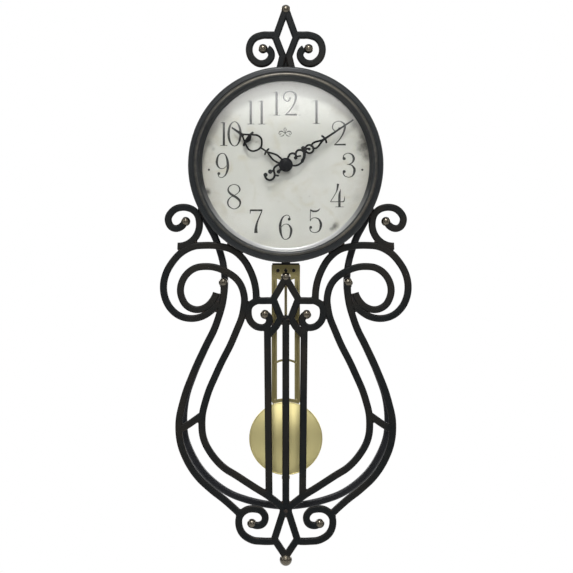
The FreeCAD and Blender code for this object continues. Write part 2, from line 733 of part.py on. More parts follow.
hour_teeth = gear("hour_teeth", HOUR, hour_motion, hour_back, 0, 180 / HOUR)
hour_pipe = cylinder("hour_pipe", pipe_r, hour_front - hour_back, 0, -hour_back, dial_z)
pipe_bore = cylinder("pipe_bore", arbor_r + gap, 14, 0, -hour_back + 1, dial_z)
node(cut("hour_cut", fuse("hour_fuse", hour_teeth, hour_pipe), pipe_bore), "hour_wheel")

knob_disc = cylinder("knob_disc", cell("knob_radius"), 3, ARBOR_X, -13.5, dial_z)
knob_eye = cylinder("knob_eye", arbor_r, 8, ARBOR_X, -14, dial_z)
node(cut("knob_cut", knob_disc, knob_eye), "set_knob")

# ---------------------------------------------------------------- hands

# A hand is drawn pointing at twelve, as (r, s): r along it from the arbor, s to its left.
# It is stamped from one sheet: strokes with round ends, blades and knobs, fused together.
HAND_THICK = cell("hand_thick").number


def spot(r, s):
    return Vector(-s, r, 0)


def knob(r, s, radius):
    return Part.makeCylinder(radius, HAND_THICK, spot(r, s))


def stroke(points, width):
    spots = [spot(r, s) for r, s in points]
    edges, direction = smooth_path(spots)
    side = Vector(-direction.y, direction.x, 0) * (width / 2)
    lift = Vector(0, 0, HAND_THICK)
    corners = [spots[0] - side, spots[0] + side, spots[0] + side + lift, spots[0] - side + lift]
    ribbon = Part.Wire(edges).makePipeShell([Part.makePolygon(corners + corners[:1])], True, False)
    ends = [knob(*points[0], width / 2), knob(*points[-1], width / 2)]
    return [ribbon] + ends


def blade(points, smooth=False):
    spots = [spot(r, s) for r, s in points]
    if smooth:
        edges, _ = smooth_path(spots, closed=True)
        outline = Part.Wire(edges)
    else:
        outline = Part.makePolygon(spots + spots[:1])
    return [Part.Face(outline).extrude(Vector(0, 0, HAND_THICK))]


def both_sides(points):
    return [points, [(r, -s) for r, s in points]]


def hand(name, pieces, bore, front_y, angle):
    hub = knob(0, 0, cell("hub_radius").number)
    hole = Part.makeCylinder(bore.number, 4, Vector(0, 0, -2))
    solid = hub.fuse(pieces).cut(hole).removeSplitter()
    obj = doc.addObject("Part::Feature", name + "_sheet")
    obj.Shape = solid.Solids[0]
    spin = Rotation(Vector(0, 1, 0), angle).multiply(FORWARD)
    place(obj, 0, -front_y + cell("hand_thick"), dial_z, spin)
    if len(solid.Solids) != 1:
        raise ValueError(f"{name} came out in {len(solid.Solids)} pieces")
    return node(obj, name)


HAIR = 1.6
hour_pieces = []
for leaf in both_sides([(6.5, 2.9), (12, 3.7), (17.5, 4), (23, 2.7), (30, 0)]):
    hour_pieces += stroke(leaf, HAIR)
for loop_side in both_sides([(41, 0), (43.8, 6.4), (47.4, 10.2), (53, 11.2), (59, 8.6),
                             (64.5, 5), (72.5, 0)]):
    hour_pieces += stroke(loop_side, HAIR)
hour_pieces += stroke([(31.4, 4.2), (31.9, 0), (31.4, -4.2)], HAIR)
hour_pieces += stroke([(29, 0), (35, 0), (41.5, 0)], 1.9)
hour_pieces += stroke([(61.6, 10.2), (62.6, 5), (62.6, -5), (61.6, -10.2)], 2.3)
hour_pieces += blade([(58, 0), (60.4, 5.6), (63.6, 5.4), (63.2, 0), (63.6, -5.4), (60.4, -5.6)])
hour_pieces += blade([(69, 1.8), (88.5, 0.6), (88.5, -0.6), (69, -1.8)])
hand("hour_hand", hour_pieces, pipe_r, hour_front, 304.7)

minute_pieces = []
minute_pieces += stroke([(6, 4.6), (9.6, 7.4), (13.4, 8.7), (17, 7.2), (18.5, 3.8), (17.4, 1)], 1.8)
minute_pieces += [knob(16.3, 0.5, 1.9)]
minute_pieces += stroke([(18, 1.2), (19.6, 5), (23.2, 7.2), (27, 6), (29.6, 1.5)], 1.7)
minute_pieces += stroke([(18, 1.2), (20.8, 0.1), (23, -1)], 1.3)
minute_pieces += stroke([(6, -4.8), (10.5, -8.2), (15.4, -9.5), (21.7, -8.2), (27.4, -4),
                         (31.3, 1.5), (31.9, 5.5)], HAIR)
minute_pieces += blade([(20, -9), (25.4, -7.4), (30.2, -2.6), (32.8, 3.4), (31.2, 4), (28, -0.6),
                        (24.6, -4.6), (20, -7.6)], smooth=True)
minute_pieces += [knob(31.9, 5.7, 2.3)]
ring = Part.makeCylinder(6.35, HAND_THICK, spot(38.2, 0))
minute_pieces += [ring.cut(Part.makeCylinder(4.7, HAND_THICK, spot(38.2, 0)))]
minute_pieces += stroke([(32.6, 2), (35.6, 2), (38, 0.8)], HAIR)
minute_pieces += [knob(38.1, 0.1, 1.4)]
for drop_side in both_sides([(42.8, 1.8), (45.8, 3.7), (50, 3.6), (55, 1.8), (60.5, 0)]):
    minute_pieces += stroke(drop_side, HAIR)
minute_pieces += stroke([(62.2, 5.1), (63.4, 0), (62.2, -5.1)], 1.7)
minute_pieces += blade([(57, 1.6), (64, 1.3), (109.3, 0.6), (109.3, -0.6), (64, -1.3), (57, -1.6)])
minute_pieces += stroke([(-6, 4.4), (-11.5, 5.9), (-15.8, 4.8), (-18.2, 1.2), (-19.6, -2.4),
                         (-22.3, -5.1), (-26.2, -6.1), (-30, -4.7), (-32, -1.3),
                         (-31.8, 2.6)], 1.8)
minute_pieces += [knob(-30.2, 3.9, 2.3), knob(-22.6, 4, 2.4)]
minute_pieces += stroke([(-18, 2.2), (-20.4, 3.6), (-22.4, 4)], HAIR)
minute_pieces += stroke([(-19.6, -3), (-18.3, -5), (-16.6, -6.3)], HAIR)
minute_pieces += stroke([(-6, -1), (-10, -1.6), (-13.6, -2.3)], 2.2)
minute_pieces += [knob(-13.4, -2.3, 2)]
hand("minute_hand", minute_pieces, arbor_r, minute_front, 56.3)

cap_r = cell("cap_radius")
cap_rise = 3.6
cap_dome = (cap_r.number ** 2 + cap_rise ** 2) / (2 * cap_rise)
node(turned("cap_dome", [
    (0, -minute_front - cap_rise, cap_dome, 1), (cap_r, -minute_front),
    (arbor_r, -minute_front), (arbor_r, -minute_front - 0.6), (0, -minute_front - 0.6),
]), "hand_cap")

# ---------------------------------------------------------------- pendulum

sheet_front = cell("sheet_front")
sheet_t = cell("sheet_thick")
sheet_back = sheet_front - sheet_t
plate_half = cell("plate_width") / 2
plate_top = cell("plate_top")
leader_w = cell("leader_width")
leader_t = cell("leader_thick")
pivot_r = cell("pivot_radius")

leader_strip = box("leader_strip", leader_w, leader_t, cell("pivot_height") + 140, -leader_w / 2,
                   -sheet_back, from_dial(-140))
leader_eye = cylinder("leader_eye", leader_w / 2, leader_t, 0, -sheet_back + leader_t, pivot_z)
leader_bar = box("leader_bar", cell("plate_width") - 2, leader_t, 14, -plate_half + 1,
                 -sheet_back, from_dial(-146))
magnet_seat = cylinder("magnet_seat", 7.5, leader_t, 0, -sheet_back + leader_t, from_dial(-29))
pivot_bore = cylinder("pivot_bore", pivot_r + gap, 8, 0, -6, pivot_z)
leader_whole = fuse("leader_fuse", leader_strip, leader_eye, leader_bar, magnet_seat)
node(cut("leader_cut", leader_whole, pivot_bore), "pendulum_leader")

plate_blank = flat("plate_blank", [
    (-plate_half, -plate_top), (plate_half, -plate_top), (plate_half, -150.5),
    (9, -154.5), (0, -158), (-9, -154.5), (-plate_half, -150.5),
], sheet_t, sheet_back)
strip_w = cell("strip_width")
strip_x = cell("strip_spacing") / 2
bob_z = cell("bob_drop")
bob_r = cell("bob_radius")
strips = []
for number, centre in enumerate((-strip_x, strip_x), start=1):
    strips.append(box(f"strip_{number}", strip_w, sheet_t, 173, centre - strip_w / 2,
                      -sheet_front, from_dial(-322)))
    strips.append(cylinder(f"strip_rib_{number}", 0.8, 160, centre, -sheet_front + 0.2,
                           from_dial(-316), Rotation()))
half_span = strip_x.number
cross_arch = bar("cross_arch", [(-half_span, -269.5), (0, -264.5), (half_span, -269.5)],
                 3, sheet_t, 0.2, sheet_front - sheet_t / 2)
seat_radius = bob_r.number + 2.6
seat_drop = -bob_z.number + math.sqrt(seat_radius ** 2 - (half_span + 3) ** 2)
bob_arch = bar("bob_arch", [(-half_span - 3, seat_drop), (0, seat_radius - bob_z.number),
                            (half_span + 3, seat_drop)],
               4.6, sheet_t, 0.2, sheet_front - sheet_t / 2)
# A raised rim follows the plate's lower edge.
rim = bar("plate_rim", [(-plate_half.number + 0.8, -149.6), (-9, -153.4), (0, -156.9), (9, -153.4),
                        (plate_half.number - 0.8, -149.6)],
          1.4, 1.2, 0.4, sheet_front, mitred=True)
holes = [cylinder(f"plate_hole_{number}", 2.6, 6, x, -sheet_front + 3, from_dial(-142))
         for number, x in enumerate((-10.8, 0, 10.8), start=1)]
bob_clear = cylinder("bob_clear", bob_r, 20, 0, 0, from_dial(-bob_z))
lattice = fuse("lattice_fuse", plate_blank, *strips, cross_arch, bob_arch, rim)
node(cut("lattice_cut", lattice, bob_clear, *holes), "pendulum_frame")

rod_r = cell("rod_radius")
rod_y = -sheet_back + rod_r
node(cylinder("rod", rod_r, 283, 0, rod_y, from_dial(-429.3), Rotation()), "pendulum_rod")

dome_rise = cell("bob_dome")
bob_edge = sheet_front + 0.8
skin = 0.8
outer_dome = (bob_r.number ** 2 + dome_rise.number ** 2) / (2 * dome_rise.number)
inner_r = bob_r - skin
inner_rise = dome_rise - skin
inner_dome = (inner_r.number ** 2 + inner_rise.number ** 2) / (2 * inner_rise.number)
node(turned("bob_shell", [
    (0, -bob_edge - dome_rise, outer_dome, 1), (bob_r, -bob_edge), (bob_r, -sheet_back),
    (inner_r, -sheet_back), (inner_r, -bob_edge, inner_dome, -1), (0, -bob_edge - inner_rise),
], 0, from_dial(-bob_z)), "bob_front")
node(cylinder("bob_disc", inner_r, sheet_t, 0, -sheet_back, from_dial(-bob_z)), "bob_back")

nut_disc = cylinder("nut_disc", cell("nut_radius"), 4, 0, rod_y, from_dial(-427.6), Rotation())
nut_hole = cylinder("nut_hole", rod_r + gap, 8, 0, rod_y, from_dial(-430), Rotation())
node(cut("rating_cut", nut_disc, nut_hole), "rating_nut")

# ---------------------------------------------------------------- check and write

doc.recompute()
for obj in doc.Objects:
    if {"Invalid", "Error"} & set(obj.State):
        raise ValueError(f"{obj.Label} failed: {obj.State}")
for obj in nodes:
    if obj.Shape.isNull() or not obj.Shape.isValid() or obj.Shape.Volume < 1:
        raise ValueError(f"{obj.Label} has no valid solid")
for obj in nodes:
    obj.Shape.exportStep(f"parts/{obj.Label}.step")
print(f"{len(nodes)} sub-parts written")
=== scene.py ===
import json
import math
import random

import bmesh
import bpy
from mathutils import Matrix, Vector


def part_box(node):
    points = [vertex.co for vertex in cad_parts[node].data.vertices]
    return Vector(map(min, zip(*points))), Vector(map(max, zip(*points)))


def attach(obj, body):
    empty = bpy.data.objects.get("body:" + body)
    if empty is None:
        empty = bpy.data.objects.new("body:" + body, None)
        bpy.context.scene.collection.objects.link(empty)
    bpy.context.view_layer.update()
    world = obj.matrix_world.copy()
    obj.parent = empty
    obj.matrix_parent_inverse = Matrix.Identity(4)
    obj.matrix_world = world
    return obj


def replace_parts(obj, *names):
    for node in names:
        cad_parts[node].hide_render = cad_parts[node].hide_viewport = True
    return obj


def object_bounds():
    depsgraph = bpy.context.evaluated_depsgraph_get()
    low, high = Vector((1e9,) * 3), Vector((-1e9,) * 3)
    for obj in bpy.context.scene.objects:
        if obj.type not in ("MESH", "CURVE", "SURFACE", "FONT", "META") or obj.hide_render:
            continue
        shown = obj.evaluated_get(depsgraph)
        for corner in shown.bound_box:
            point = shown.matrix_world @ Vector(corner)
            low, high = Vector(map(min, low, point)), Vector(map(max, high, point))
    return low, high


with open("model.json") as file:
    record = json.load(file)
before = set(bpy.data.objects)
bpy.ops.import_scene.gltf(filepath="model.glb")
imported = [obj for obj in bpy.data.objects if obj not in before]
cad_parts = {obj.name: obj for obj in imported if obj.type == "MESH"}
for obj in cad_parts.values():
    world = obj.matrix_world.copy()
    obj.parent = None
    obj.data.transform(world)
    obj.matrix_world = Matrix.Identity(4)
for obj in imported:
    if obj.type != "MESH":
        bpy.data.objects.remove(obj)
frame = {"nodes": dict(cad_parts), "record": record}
cad_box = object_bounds()

# ---------------------------------------------------------------- places, all read from the frame

MM = 0.001
FRONT = Vector((0, -1, 0))           # out of the wall, towards whoever reads the clock


def middle(node):
    low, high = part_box(node)
    return (low + high) / 2


DIAL = middle("dial")
DIAL_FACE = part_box("dial")[0].y
BAR_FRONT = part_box("string_middle")[0].y
BAR_PLANE = middle("string_middle").y
BAR_HALF = BAR_PLANE - BAR_FRONT
BOB = middle("bob_front")
GLASS_THICK = 2 * MM


def at(x, z, y=BAR_PLANE):
    """A point x across and z above the centre of the dial, in millimetres, at a depth in metres."""
    return Vector((DIAL.x + x * MM, y, DIAL.z + z * MM))


# ---------------------------------------------------------------- materials

class Graph:
    """A material built a node at a time around one Principled shader."""

    def __init__(self, name, **fixed):
        self.material = bpy.data.materials.new(name)
        self.material.use_nodes = True
        self.tree = self.material.node_tree
        self.tree.nodes.clear()
        self.output = self.add("ShaderNodeOutputMaterial")
        self.shader = self.add("ShaderNodeBsdfPrincipled")
        self.tree.links.new(self.shader.outputs[0], self.output.inputs["Surface"])
        self.coords = self.add("ShaderNodeTexCoord")
        self.place = self.coords.outputs["Object"]
        parts = self.add("ShaderNodeSeparateXYZ", {"Vector": self.place})
        self.x, self.y, self.z = parts.outputs
        for socket, value in fixed.items():
            self.set(socket.replace("_", " "), value)

    def add(self, kind, inputs=None, **settings):
        node = self.tree.nodes.new(kind)
        for key, value in settings.items():
            setattr(node, key, value)
        for key, value in (inputs or {}).items():
            self.feed(node.inputs[key], value)
        return node

    def feed(self, socket, value):
        if isinstance(value, bpy.types.NodeSocket):
            self.tree.links.new(value, socket)
        else:
            socket.default_value = value

    def set(self, socket, value):
        if isinstance(value, tuple) and len(value) == 3 and socket != "Normal":
            value = (*value, 1)
        self.feed(self.shader.inputs[socket], value)

    def maths(self, operation, *values):
        node = self.add("ShaderNodeMath", operation=operation)
        for socket, value in zip(node.inputs, values):
            self.feed(socket, value)
        return node.outputs[0]

    def vector(self, operation, *values, output=0):
        node = self.add("ShaderNodeVectorMath", operation=operation)
        for socket, value in zip(node.inputs, values):
            self.feed(socket, value)
        return node.outputs[output]

    def noise(self, size, detail=4.0, stretch=(1, 1, 1), distortion=0.0):
        """Noise from 0 to 1 whose blobs are about size millimetres across."""
        spread = self.add("ShaderNodeMapping", {"Vector": self.place, "Scale": stretch})
        node = self.add("ShaderNodeTexNoise", {
            "Vector": spread.outputs[0], "Scale": 1 / (size * MM), "Detail": detail,
            "Distortion": distortion})
        return node.outputs[0]

    def between(self, value, low, high):
        """0 below low, 1 above high, and a smooth step between them, or the reverse if low is higher."""
        node = self.add("ShaderNodeMapRange", interpolation_type="SMOOTHSTEP")
        for key, item in zip(("Value", "From Min", "From Max"), (value, low, high)):
            self.feed(node.inputs[key], item)
        return node.outputs[0]

    def mix(self, factor, first, second):
        node = self.add("ShaderNodeMix", data_type="RGBA")
        for socket, value in zip((node.inputs[0], node.inputs[6], node.inputs[7]),
                                 (factor, first, second)):
            if isinstance(value, tuple):
                value = (*value, 1)
            self.feed(socket, value)
        return node.outputs[2]

    def radius(self, centre, x=None, z=None):
        """Distance in metres from an axis through centre, square to the wall."""
        across = self.maths("SUBTRACT", x or self.x, centre.x)
        up = self.maths("SUBTRACT", z or self.z, centre.z)
        return self.maths("SQRT", self.maths("ADD", self.maths("MULTIPLY", across, across),
                                             self.maths("MULTIPLY", up, up)))

    def blot(self, x, z, size, ragged):
        """1 at a point of the dial, falling to 0 at size millimetres, with a ragged edge."""
        away = self.radius(at(x, z))
        rough = self.maths("MULTIPLY_ADD", ragged, size * 0.9 * MM, -0.45 * size * MM)
        return self.between(self.maths("ADD", away, rough), size * MM, 0.0)

    def facing(self):
        """How squarely a point faces the wall or away from it: 1 on a bar's flat, 0 on its sides."""
        parts = self.add("ShaderNodeSeparateXYZ", {"Vector": self.coords.outputs["Normal"]})
        return self.maths("ABSOLUTE", parts.outputs[1])

    def bump(self, height, strength, depth, under=None):
        inputs = {"Height": height, "Strength": strength, "Distance": depth * MM}
        if under is not None:
            inputs["Normal"] = under
        return self.add("ShaderNodeBump", inputs).outputs[0]


def wrought_iron():
    g = Graph("wrought_iron_paint", Metallic=0.1, Specular_IOR_Level=0.2, Coat_Weight=0.04,
              Coat_Roughness=0.22)
    squareness = g.facing()
    edge = g.maths("MULTIPLY", g.between(squareness, 0.3, 0.62), g.between(squareness, 0.97, 0.72))
    patch = g.between(g.noise(26, 5), 0.42, 0.68)
    fine = g.between(g.noise(3.2, 6), 0.46, 0.7)
    low = g.between(g.z, at(0, -250).z, at(0, -480).z)
    curl = g.between(g.radius(at(118, -166), g.maths("ABSOLUTE", g.x)), 0.042, 0.022)
    rub = g.maths("MULTIPLY", edge, g.maths("ADD", g.maths("MULTIPLY", patch, 0.55),
                                            g.maths("MULTIPLY", low, 0.3)))
    rub = g.maths("MULTIPLY", rub, g.maths("MULTIPLY_ADD", fine, 0.75, 0.25))
    face = g.mix(g.between(g.noise(14, 4), 0.3, 0.7), (0.0045, 0.0065, 0.0074), (0.0085, 0.0105, 0.0108))
    face = g.mix(g.between(g.noise(60, 3), 0.4, 0.7), face, (0.018, 0.0155, 0.012))
    face = g.mix(g.maths("MULTIPLY", curl, 0.7), face, (0.021, 0.0185, 0.0145))
    # The rounded edges are painted darker than the flats: painted shade where the sides of the bars turn from
    # the light. The same edge mask also carries the brown rub-through wear.
    face_with_painted_edge_shade = g.mix(edge, face, (0.0045, 0.005, 0.0055))
    g.set("Base Color", g.mix(rub, face_with_painted_edge_shade, (0.085, 0.056, 0.034)))
    g.set("Roughness", g.maths("MULTIPLY_ADD", g.noise(5, 4), 0.22, 0.38))
    g.set("Normal", g.bump(g.noise(2.2, 3), 0.35, 0.25, g.bump(g.noise(22, 2), 0.5, 0.5)))
    return g.material


def black_iron():
    g = Graph("rear_loop_paint", Metallic=0.1, Coat_Weight=0.3, Coat_Roughness=0.2)
    g.set("Base Color", g.mix(g.noise(20, 4), (0.008, 0.009, 0.012), (0.016, 0.017, 0.021)))
    g.set("Roughness", g.maths("MULTIPLY_ADD", g.noise(6, 3), 0.12, 0.34))
    g.set("Normal", g.bump(g.noise(3, 2), 0.2, 0.15))
    return g.material


def bronze_ball():
    g = Graph("bronze_ball_lacquer", Metallic=0.95, Coat_Weight=0.7, Coat_Roughness=0.16)
    dark = g.between(g.noise(2.6, 5, distortion=0.6), 0.36, 0.64)
    g.set("Base Color", g.mix(dark, (0.17, 0.145, 0.104), (0.115, 0.098, 0.07)))
    g.set("Roughness", g.maths("MULTIPLY_ADD", g.noise(1.6, 4), 0.1, 0.22))
    g.set("Normal", g.bump(g.noise(2.4, 2), 0.12, 0.15))
    return g.material


def weld_metal():
    g = Graph("weld_paint", Metallic=0.1, Specular_IOR_Level=0.35)
    rust = g.between(g.noise(3.2, 5), 0.42, 0.66)
    g.set("Base Color", g.mix(rust, (0.012, 0.012, 0.012), (0.048, 0.030, 0.020)))
    g.set("Roughness", g.maths("MULTIPLY_ADD", g.noise(1.2, 3), 0.25, 0.4))
    g.set("Normal", g.bump(g.noise(0.9, 3), 0.5, 0.25))
    return g.material


def case_paint():
    g = Graph("case_paint", Metallic=0.15, Coat_Weight=0.15, Coat_Roughness=0.25)
    g.set("Base Color", g.mix(g.noise(30, 4), (0.012, 0.0125, 0.0135), (0.022, 0.022, 0.022)))
    g.set("Roughness", g.maths("MULTIPLY_ADD", g.noise(8, 3), 0.14, 0.42))
    g.set("Normal", g.bump(g.noise(0.9, 2), 0.3, 0.12))
    return g.material


def bezel_paint():
    g = Graph("bezel_bronze", Coat_Weight=0.2, Coat_Roughness=0.25)
    away = g.radius(DIAL)
    # The bronze on the ridge is partly wear and partly painted highlight, made strongest at the top and lower
    # right where the light falls; the outer rim gets a little plain wear.
    ridge = g.maths("MULTIPLY", g.between(away, 0.1184, 0.1212), g.between(away, 0.1240, 0.1224))
    streak = g.between(g.noise(12, 5), 0.34, 0.62)
    fine = g.between(g.noise(2.2, 6), 0.4, 0.7)
    top_highlight = g.between(g.z, DIAL.z + 0.05, DIAL.z + 0.12)
    corner = g.between(g.radius(at(90, -82)), 0.075, 0.0)
    highlight_and_streaks = g.maths("ADD", g.maths("MULTIPLY_ADD", g.maths("MAXIMUM", top_highlight, corner), 0.55, 0.2),
                      g.maths("MULTIPLY", streak, 0.25))
    ridge_wear_and_highlight = g.maths("MULTIPLY", ridge, highlight_and_streaks)
    rim = g.maths("MULTIPLY", g.between(away, 0.1293, 0.1312), 0.3)
    wear_and_highlight = g.maths("MULTIPLY", g.maths("MAXIMUM", ridge_wear_and_highlight, g.maths("MULTIPLY", rim, fine)),
                   g.maths("MULTIPLY_ADD", fine, 0.35, 0.65))
    slate = g.mix(g.noise(18, 5), (0.008, 0.0105, 0.012), (0.018, 0.0205, 0.022))
    # The inner cove is painted pale silver towards the bottom and dark above: a painted reflection of the
    # light from above.
    cove = g.between(away, 0.1178, 0.1168)
    painted_cove_reflection = g.between(g.z, DIAL.z - 0.02, DIAL.z - 0.10)
    base = g.mix(cove, slate, g.mix(painted_cove_reflection, (0.05, 0.052, 0.052), (0.56, 0.56, 0.55)))
    g.set("Base Color", g.mix(wear_and_highlight, base, (0.21, 0.188, 0.150)))
    g.set("Metallic", g.maths("MULTIPLY_ADD", g.maths("MAXIMUM", cove, wear_and_highlight), 0.75, 0.2))
    g.set("Roughness", g.maths("MULTIPLY_ADD", g.noise(6, 4), 0.16, 0.32))
    g.set("Normal", g.bump(g.noise(1.6, 3), 0.25, 0.15))
    return g.material


def dial_paper():
    g = Graph("aged_dial_paper", Specular_IOR_Level=0.25)
    ragged = g.noise(5, 6, distortion=0.4)
    cloud = g.between(g.noise(55, 5), 0.32, 0.7)
    fibre = g.noise(1.3, 5)
    base = g.mix(cloud, (0.54, 0.542, 0.495), (0.595, 0.594, 0.55))
    base = g.mix(g.between(g.noise(30, 5, distortion=1.0), 0.5, 0.78), base, (0.51, 0.49, 0.405))
    away = g.radius(DIAL)
    # Darker brown towards the dial's rim: partly toning of the old paper, partly painted shade under the
    # bezel, made heavier at the top as a painted shadow of the bezel.
    ring = g.between(g.maths("MULTIPLY_ADD", ragged, 0.022, away), 0.104, 0.124)
    toning_and_top_shadow = g.maths("MULTIPLY_ADD", g.between(g.z, DIAL.z - 0.09, DIAL.z - 0.02), 0.3, 0.16)
    base = g.mix(g.maths("MULTIPLY", ring, toning_and_top_shadow), base, (0.35, 0.315, 0.245))
    for x, z, size, depth in AGE_SPOTS:
        base = g.mix(g.maths("MULTIPLY", g.blot(x, z, size, ragged), depth), base, (0.10, 0.095, 0.085))
    foxing = g.between(g.noise(7, 5), 0.7, 0.78)
    base = g.mix(g.maths("MULTIPLY", foxing, 0.3), base, (0.36, 0.31, 0.22))
    g.set("Base Color", g.mix(g.maths("MULTIPLY", fibre, 0.12), base, (0.48, 0.47, 0.42)))
    g.set("Roughness", g.maths("MULTIPLY_ADD", fibre, 0.2, 0.55))
    g.set("Normal", g.bump(fibre, 0.12, 0.06))
    return g.material


# Marks of age on the dial: x and z from its centre, size, and how dark, sizes in millimetres.
AGE_SPOTS = [
    (106, 25, 16, 0.95), (109, 12, 9, 0.8), (102, 38, 6, 0.55), (93, 54, 7, 0.4), (-106, -36, 7, 1.0),
    (67, -82, 7.5, 0.9), (62, -86, 5, 0.7), (13.5, 79, 8, 0.32), (-21, 68, 1.8, 0.55), (19, 68, 1.8, 0.6),
    (45, 68, 1.3, 0.4), (70, 72, 16, 0.2), (-80, 62, 14, 0.22), (-104, 30, 9, 0.35),
    (-98, 22, 4, 0.35), (-65, -92, 3, 0.35), (32, -42, 1.5, 0.4), (-20, -12, 2, 0.12),
    (-62, 68, 3, 0.3), (96, -44, 10, 0.16), (-30, -98, 22, 0.12), (25, 30, 3, 0.12),
]


def printed_ink():
    g = Graph("numeral_ink", Specular_IOR_Level=0.3)
    worn = g.between(g.noise(2.2, 5), 0.45, 0.8)
    # Numerals near the top are painted lighter: a painted glare of the glass over the upper dial.
    high = g.between(g.z, DIAL.z + 0.02, DIAL.z + 0.08)
    ink_and_glare = g.mix(g.maths("MULTIPLY", high, 0.7), (0.024, 0.024, 0.022), (0.085, 0.085, 0.078))
    g.set("Base Color", g.mix(g.maths("MULTIPLY", worn, 0.5), ink_and_glare, (0.15, 0.148, 0.135)))
    g.set("Roughness", g.maths("MULTIPLY_ADD", g.noise(2, 3), 0.2, 0.45))
    return g.material


def clear_glass():
    g = Graph("dial_glass", Transmission_Weight=1.0, IOR=1.45, Base_Color=(0.985, 0.99, 0.985))
    smear = g.between(g.noise(40, 4, stretch=(1, 1, 2.2)), 0.45, 0.8)
    g.set("Roughness", g.maths("MULTIPLY_ADD", smear, 0.02, 0.012))
    # Both faces are parts of spheres about one axis, so the exact normal comes from the centre.
    low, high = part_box("glass")
    reach = (high.x - low.x) / 2
    bulge = high.y - low.y - GLASS_THICK
    dome = (reach ** 2 + bulge ** 2) / (2 * bulge)
    outward = g.vector("SUBTRACT", g.place, (DIAL.x, low.y + dome, DIAL.z))
    outward = g.add("ShaderNodeVectorTransform", {"Vector": outward}, vector_type="NORMAL",
                    convert_from="OBJECT", convert_to="WORLD").outputs[0]
    flat = g.add("ShaderNodeNewGeometry").outputs["True Normal"]
    side = g.maths("SIGN", g.vector("DOT_PRODUCT", outward, flat, output=1))
    g.set("Normal", g.vector("NORMALIZE", g.vector("MULTIPLY", outward, side)))
    path = g.add("ShaderNodeLightPath")
    open_way = g.add("ShaderNodeBsdfTransparent")
    choice = g.add("ShaderNodeMixShader", {0: path.outputs["Is Shadow Ray"],
                                           1: g.shader.outputs[0], 2: open_way.outputs[0]})
    g.tree.links.new(choice.outputs[0], g.output.inputs["Surface"])
    return g.material


def hand_enamel():
    g = Graph("hand_enamel", Specular_IOR_Level=0.15, Coat_Weight=0.08, Coat_Roughness=0.12)
    g.set("Base Color", g.mix(g.noise(6, 3), (0.003, 0.003, 0.0035), (0.008, 0.008, 0.008)))
    g.set("Roughness", g.maths("MULTIPLY_ADD", g.noise(3, 3), 0.1, 0.3))
    return g.material


def cap_enamel():
    g = Graph("cap_enamel", Specular_IOR_Level=0.08)
    g.set("Base Color", g.mix(g.noise(5, 3), (0.003, 0.003, 0.004), (0.006, 0.006, 0.007)))
    g.set("Roughness", g.maths("MULTIPLY_ADD", g.noise(3, 3), 0.06, 0.24))
    return g.material


def brushed_metal(name, light, dark, rough, direction, tarnish=0.3, grain=0.1):
    """Satin metal with fine lines along direction, a stretch for the noise, and cloudy tarnish."""
    g = Graph(name, Metallic=1.0)
    lines = g.noise(0.5, 2, stretch=direction)
    cloud = g.between(g.noise(24, 4), 0.35, 0.75)
    tone = g.mix(g.maths("MULTIPLY", cloud, tarnish), light, dark)
    g.set("Base Color", g.mix(g.maths("MULTIPLY", lines, 0.25), tone, dark))
    g.set("Roughness", g.maths("MULTIPLY_ADD", lines, 0.16, rough))
    g.set("Normal", g.bump(lines, grain, 0.06))
    return g.material


def plastic(name, colour, rough=0.45, grain=0.25):
    g = Graph(name, Coat_Weight=0.05)
    lighter = tuple(min(1, c * 1.35 + 0.004) for c in colour)
    g.set("Base Color", g.mix(g.between(g.noise(9, 4), 0.35, 0.7), colour, lighter))
    g.set("Roughness", g.maths("MULTIPLY_ADD", g.noise(2, 3), 0.14, rough))
    g.set("Normal", g.bump(g.noise(0.5, 2), grain, 0.05))
    return g.material


def battery_sleeve():
    """A plain two-tone sleeve with steel ends."""
    g = Graph("battery_sleeve", Coat_Weight=0.6, Coat_Roughness=0.1)
    low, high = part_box("battery")
    band = g.between(g.x, high.x - 0.0146, high.x - 0.0142)
    steel = g.maths("MAXIMUM", g.between(g.x, high.x - 0.0019, high.x - 0.0017),
                    g.between(g.x, low.x + 0.0009, low.x + 0.0007))
    sleeve = g.mix(band, (0.012, 0.035, 0.022), (0.42, 0.21, 0.08))
    g.set("Base Color", g.mix(steel, sleeve, (0.55, 0.55, 0.55)))
    g.set("Metallic", g.maths("MAXIMUM", steel, g.maths("MULTIPLY", band, 0.7)))
    g.set("Roughness", g.maths("MULTIPLY_ADD", g.noise(3, 3), 0.1, 0.26))
    return g.material


def circuit_green():
    g = Graph("circuit_green", Coat_Weight=0.3, Coat_Roughness=0.15)
    tracks = g.add("ShaderNodeTexBrick", {"Vector": g.place, "Scale": 260.0, "Mortar Size": 0.03,
                                          "Color1": (0.01, 0.09, 0.03, 1), "Color2": (0.012, 0.11, 0.035, 1),
                                          "Mortar": (0.12, 0.28, 0.08, 1)})
    g.set("Base Color", tracks.outputs[0])
    g.set("Roughness", g.maths("MULTIPLY_ADD", g.noise(3, 3), 0.2, 0.35))
    return g.material


def copper_winding():
    g = Graph("copper_winding", Metallic=0.9, Coat_Weight=0.4, Coat_Roughness=0.15)
    turns = g.add("ShaderNodeTexWave", {"Vector": g.place, "Scale": 900.0, "Distortion": 0.6},
                  bands_direction="Y")
    g.set("Base Color", g.mix(turns.outputs[1], (0.45, 0.17, 0.07), (0.70, 0.32, 0.15)))
    g.set("Roughness", g.maths("MULTIPLY_ADD", g.noise(2, 3), 0.15, 0.3))
    g.set("Normal", g.bump(turns.outputs[1], 0.6, 0.15))
    return g.material


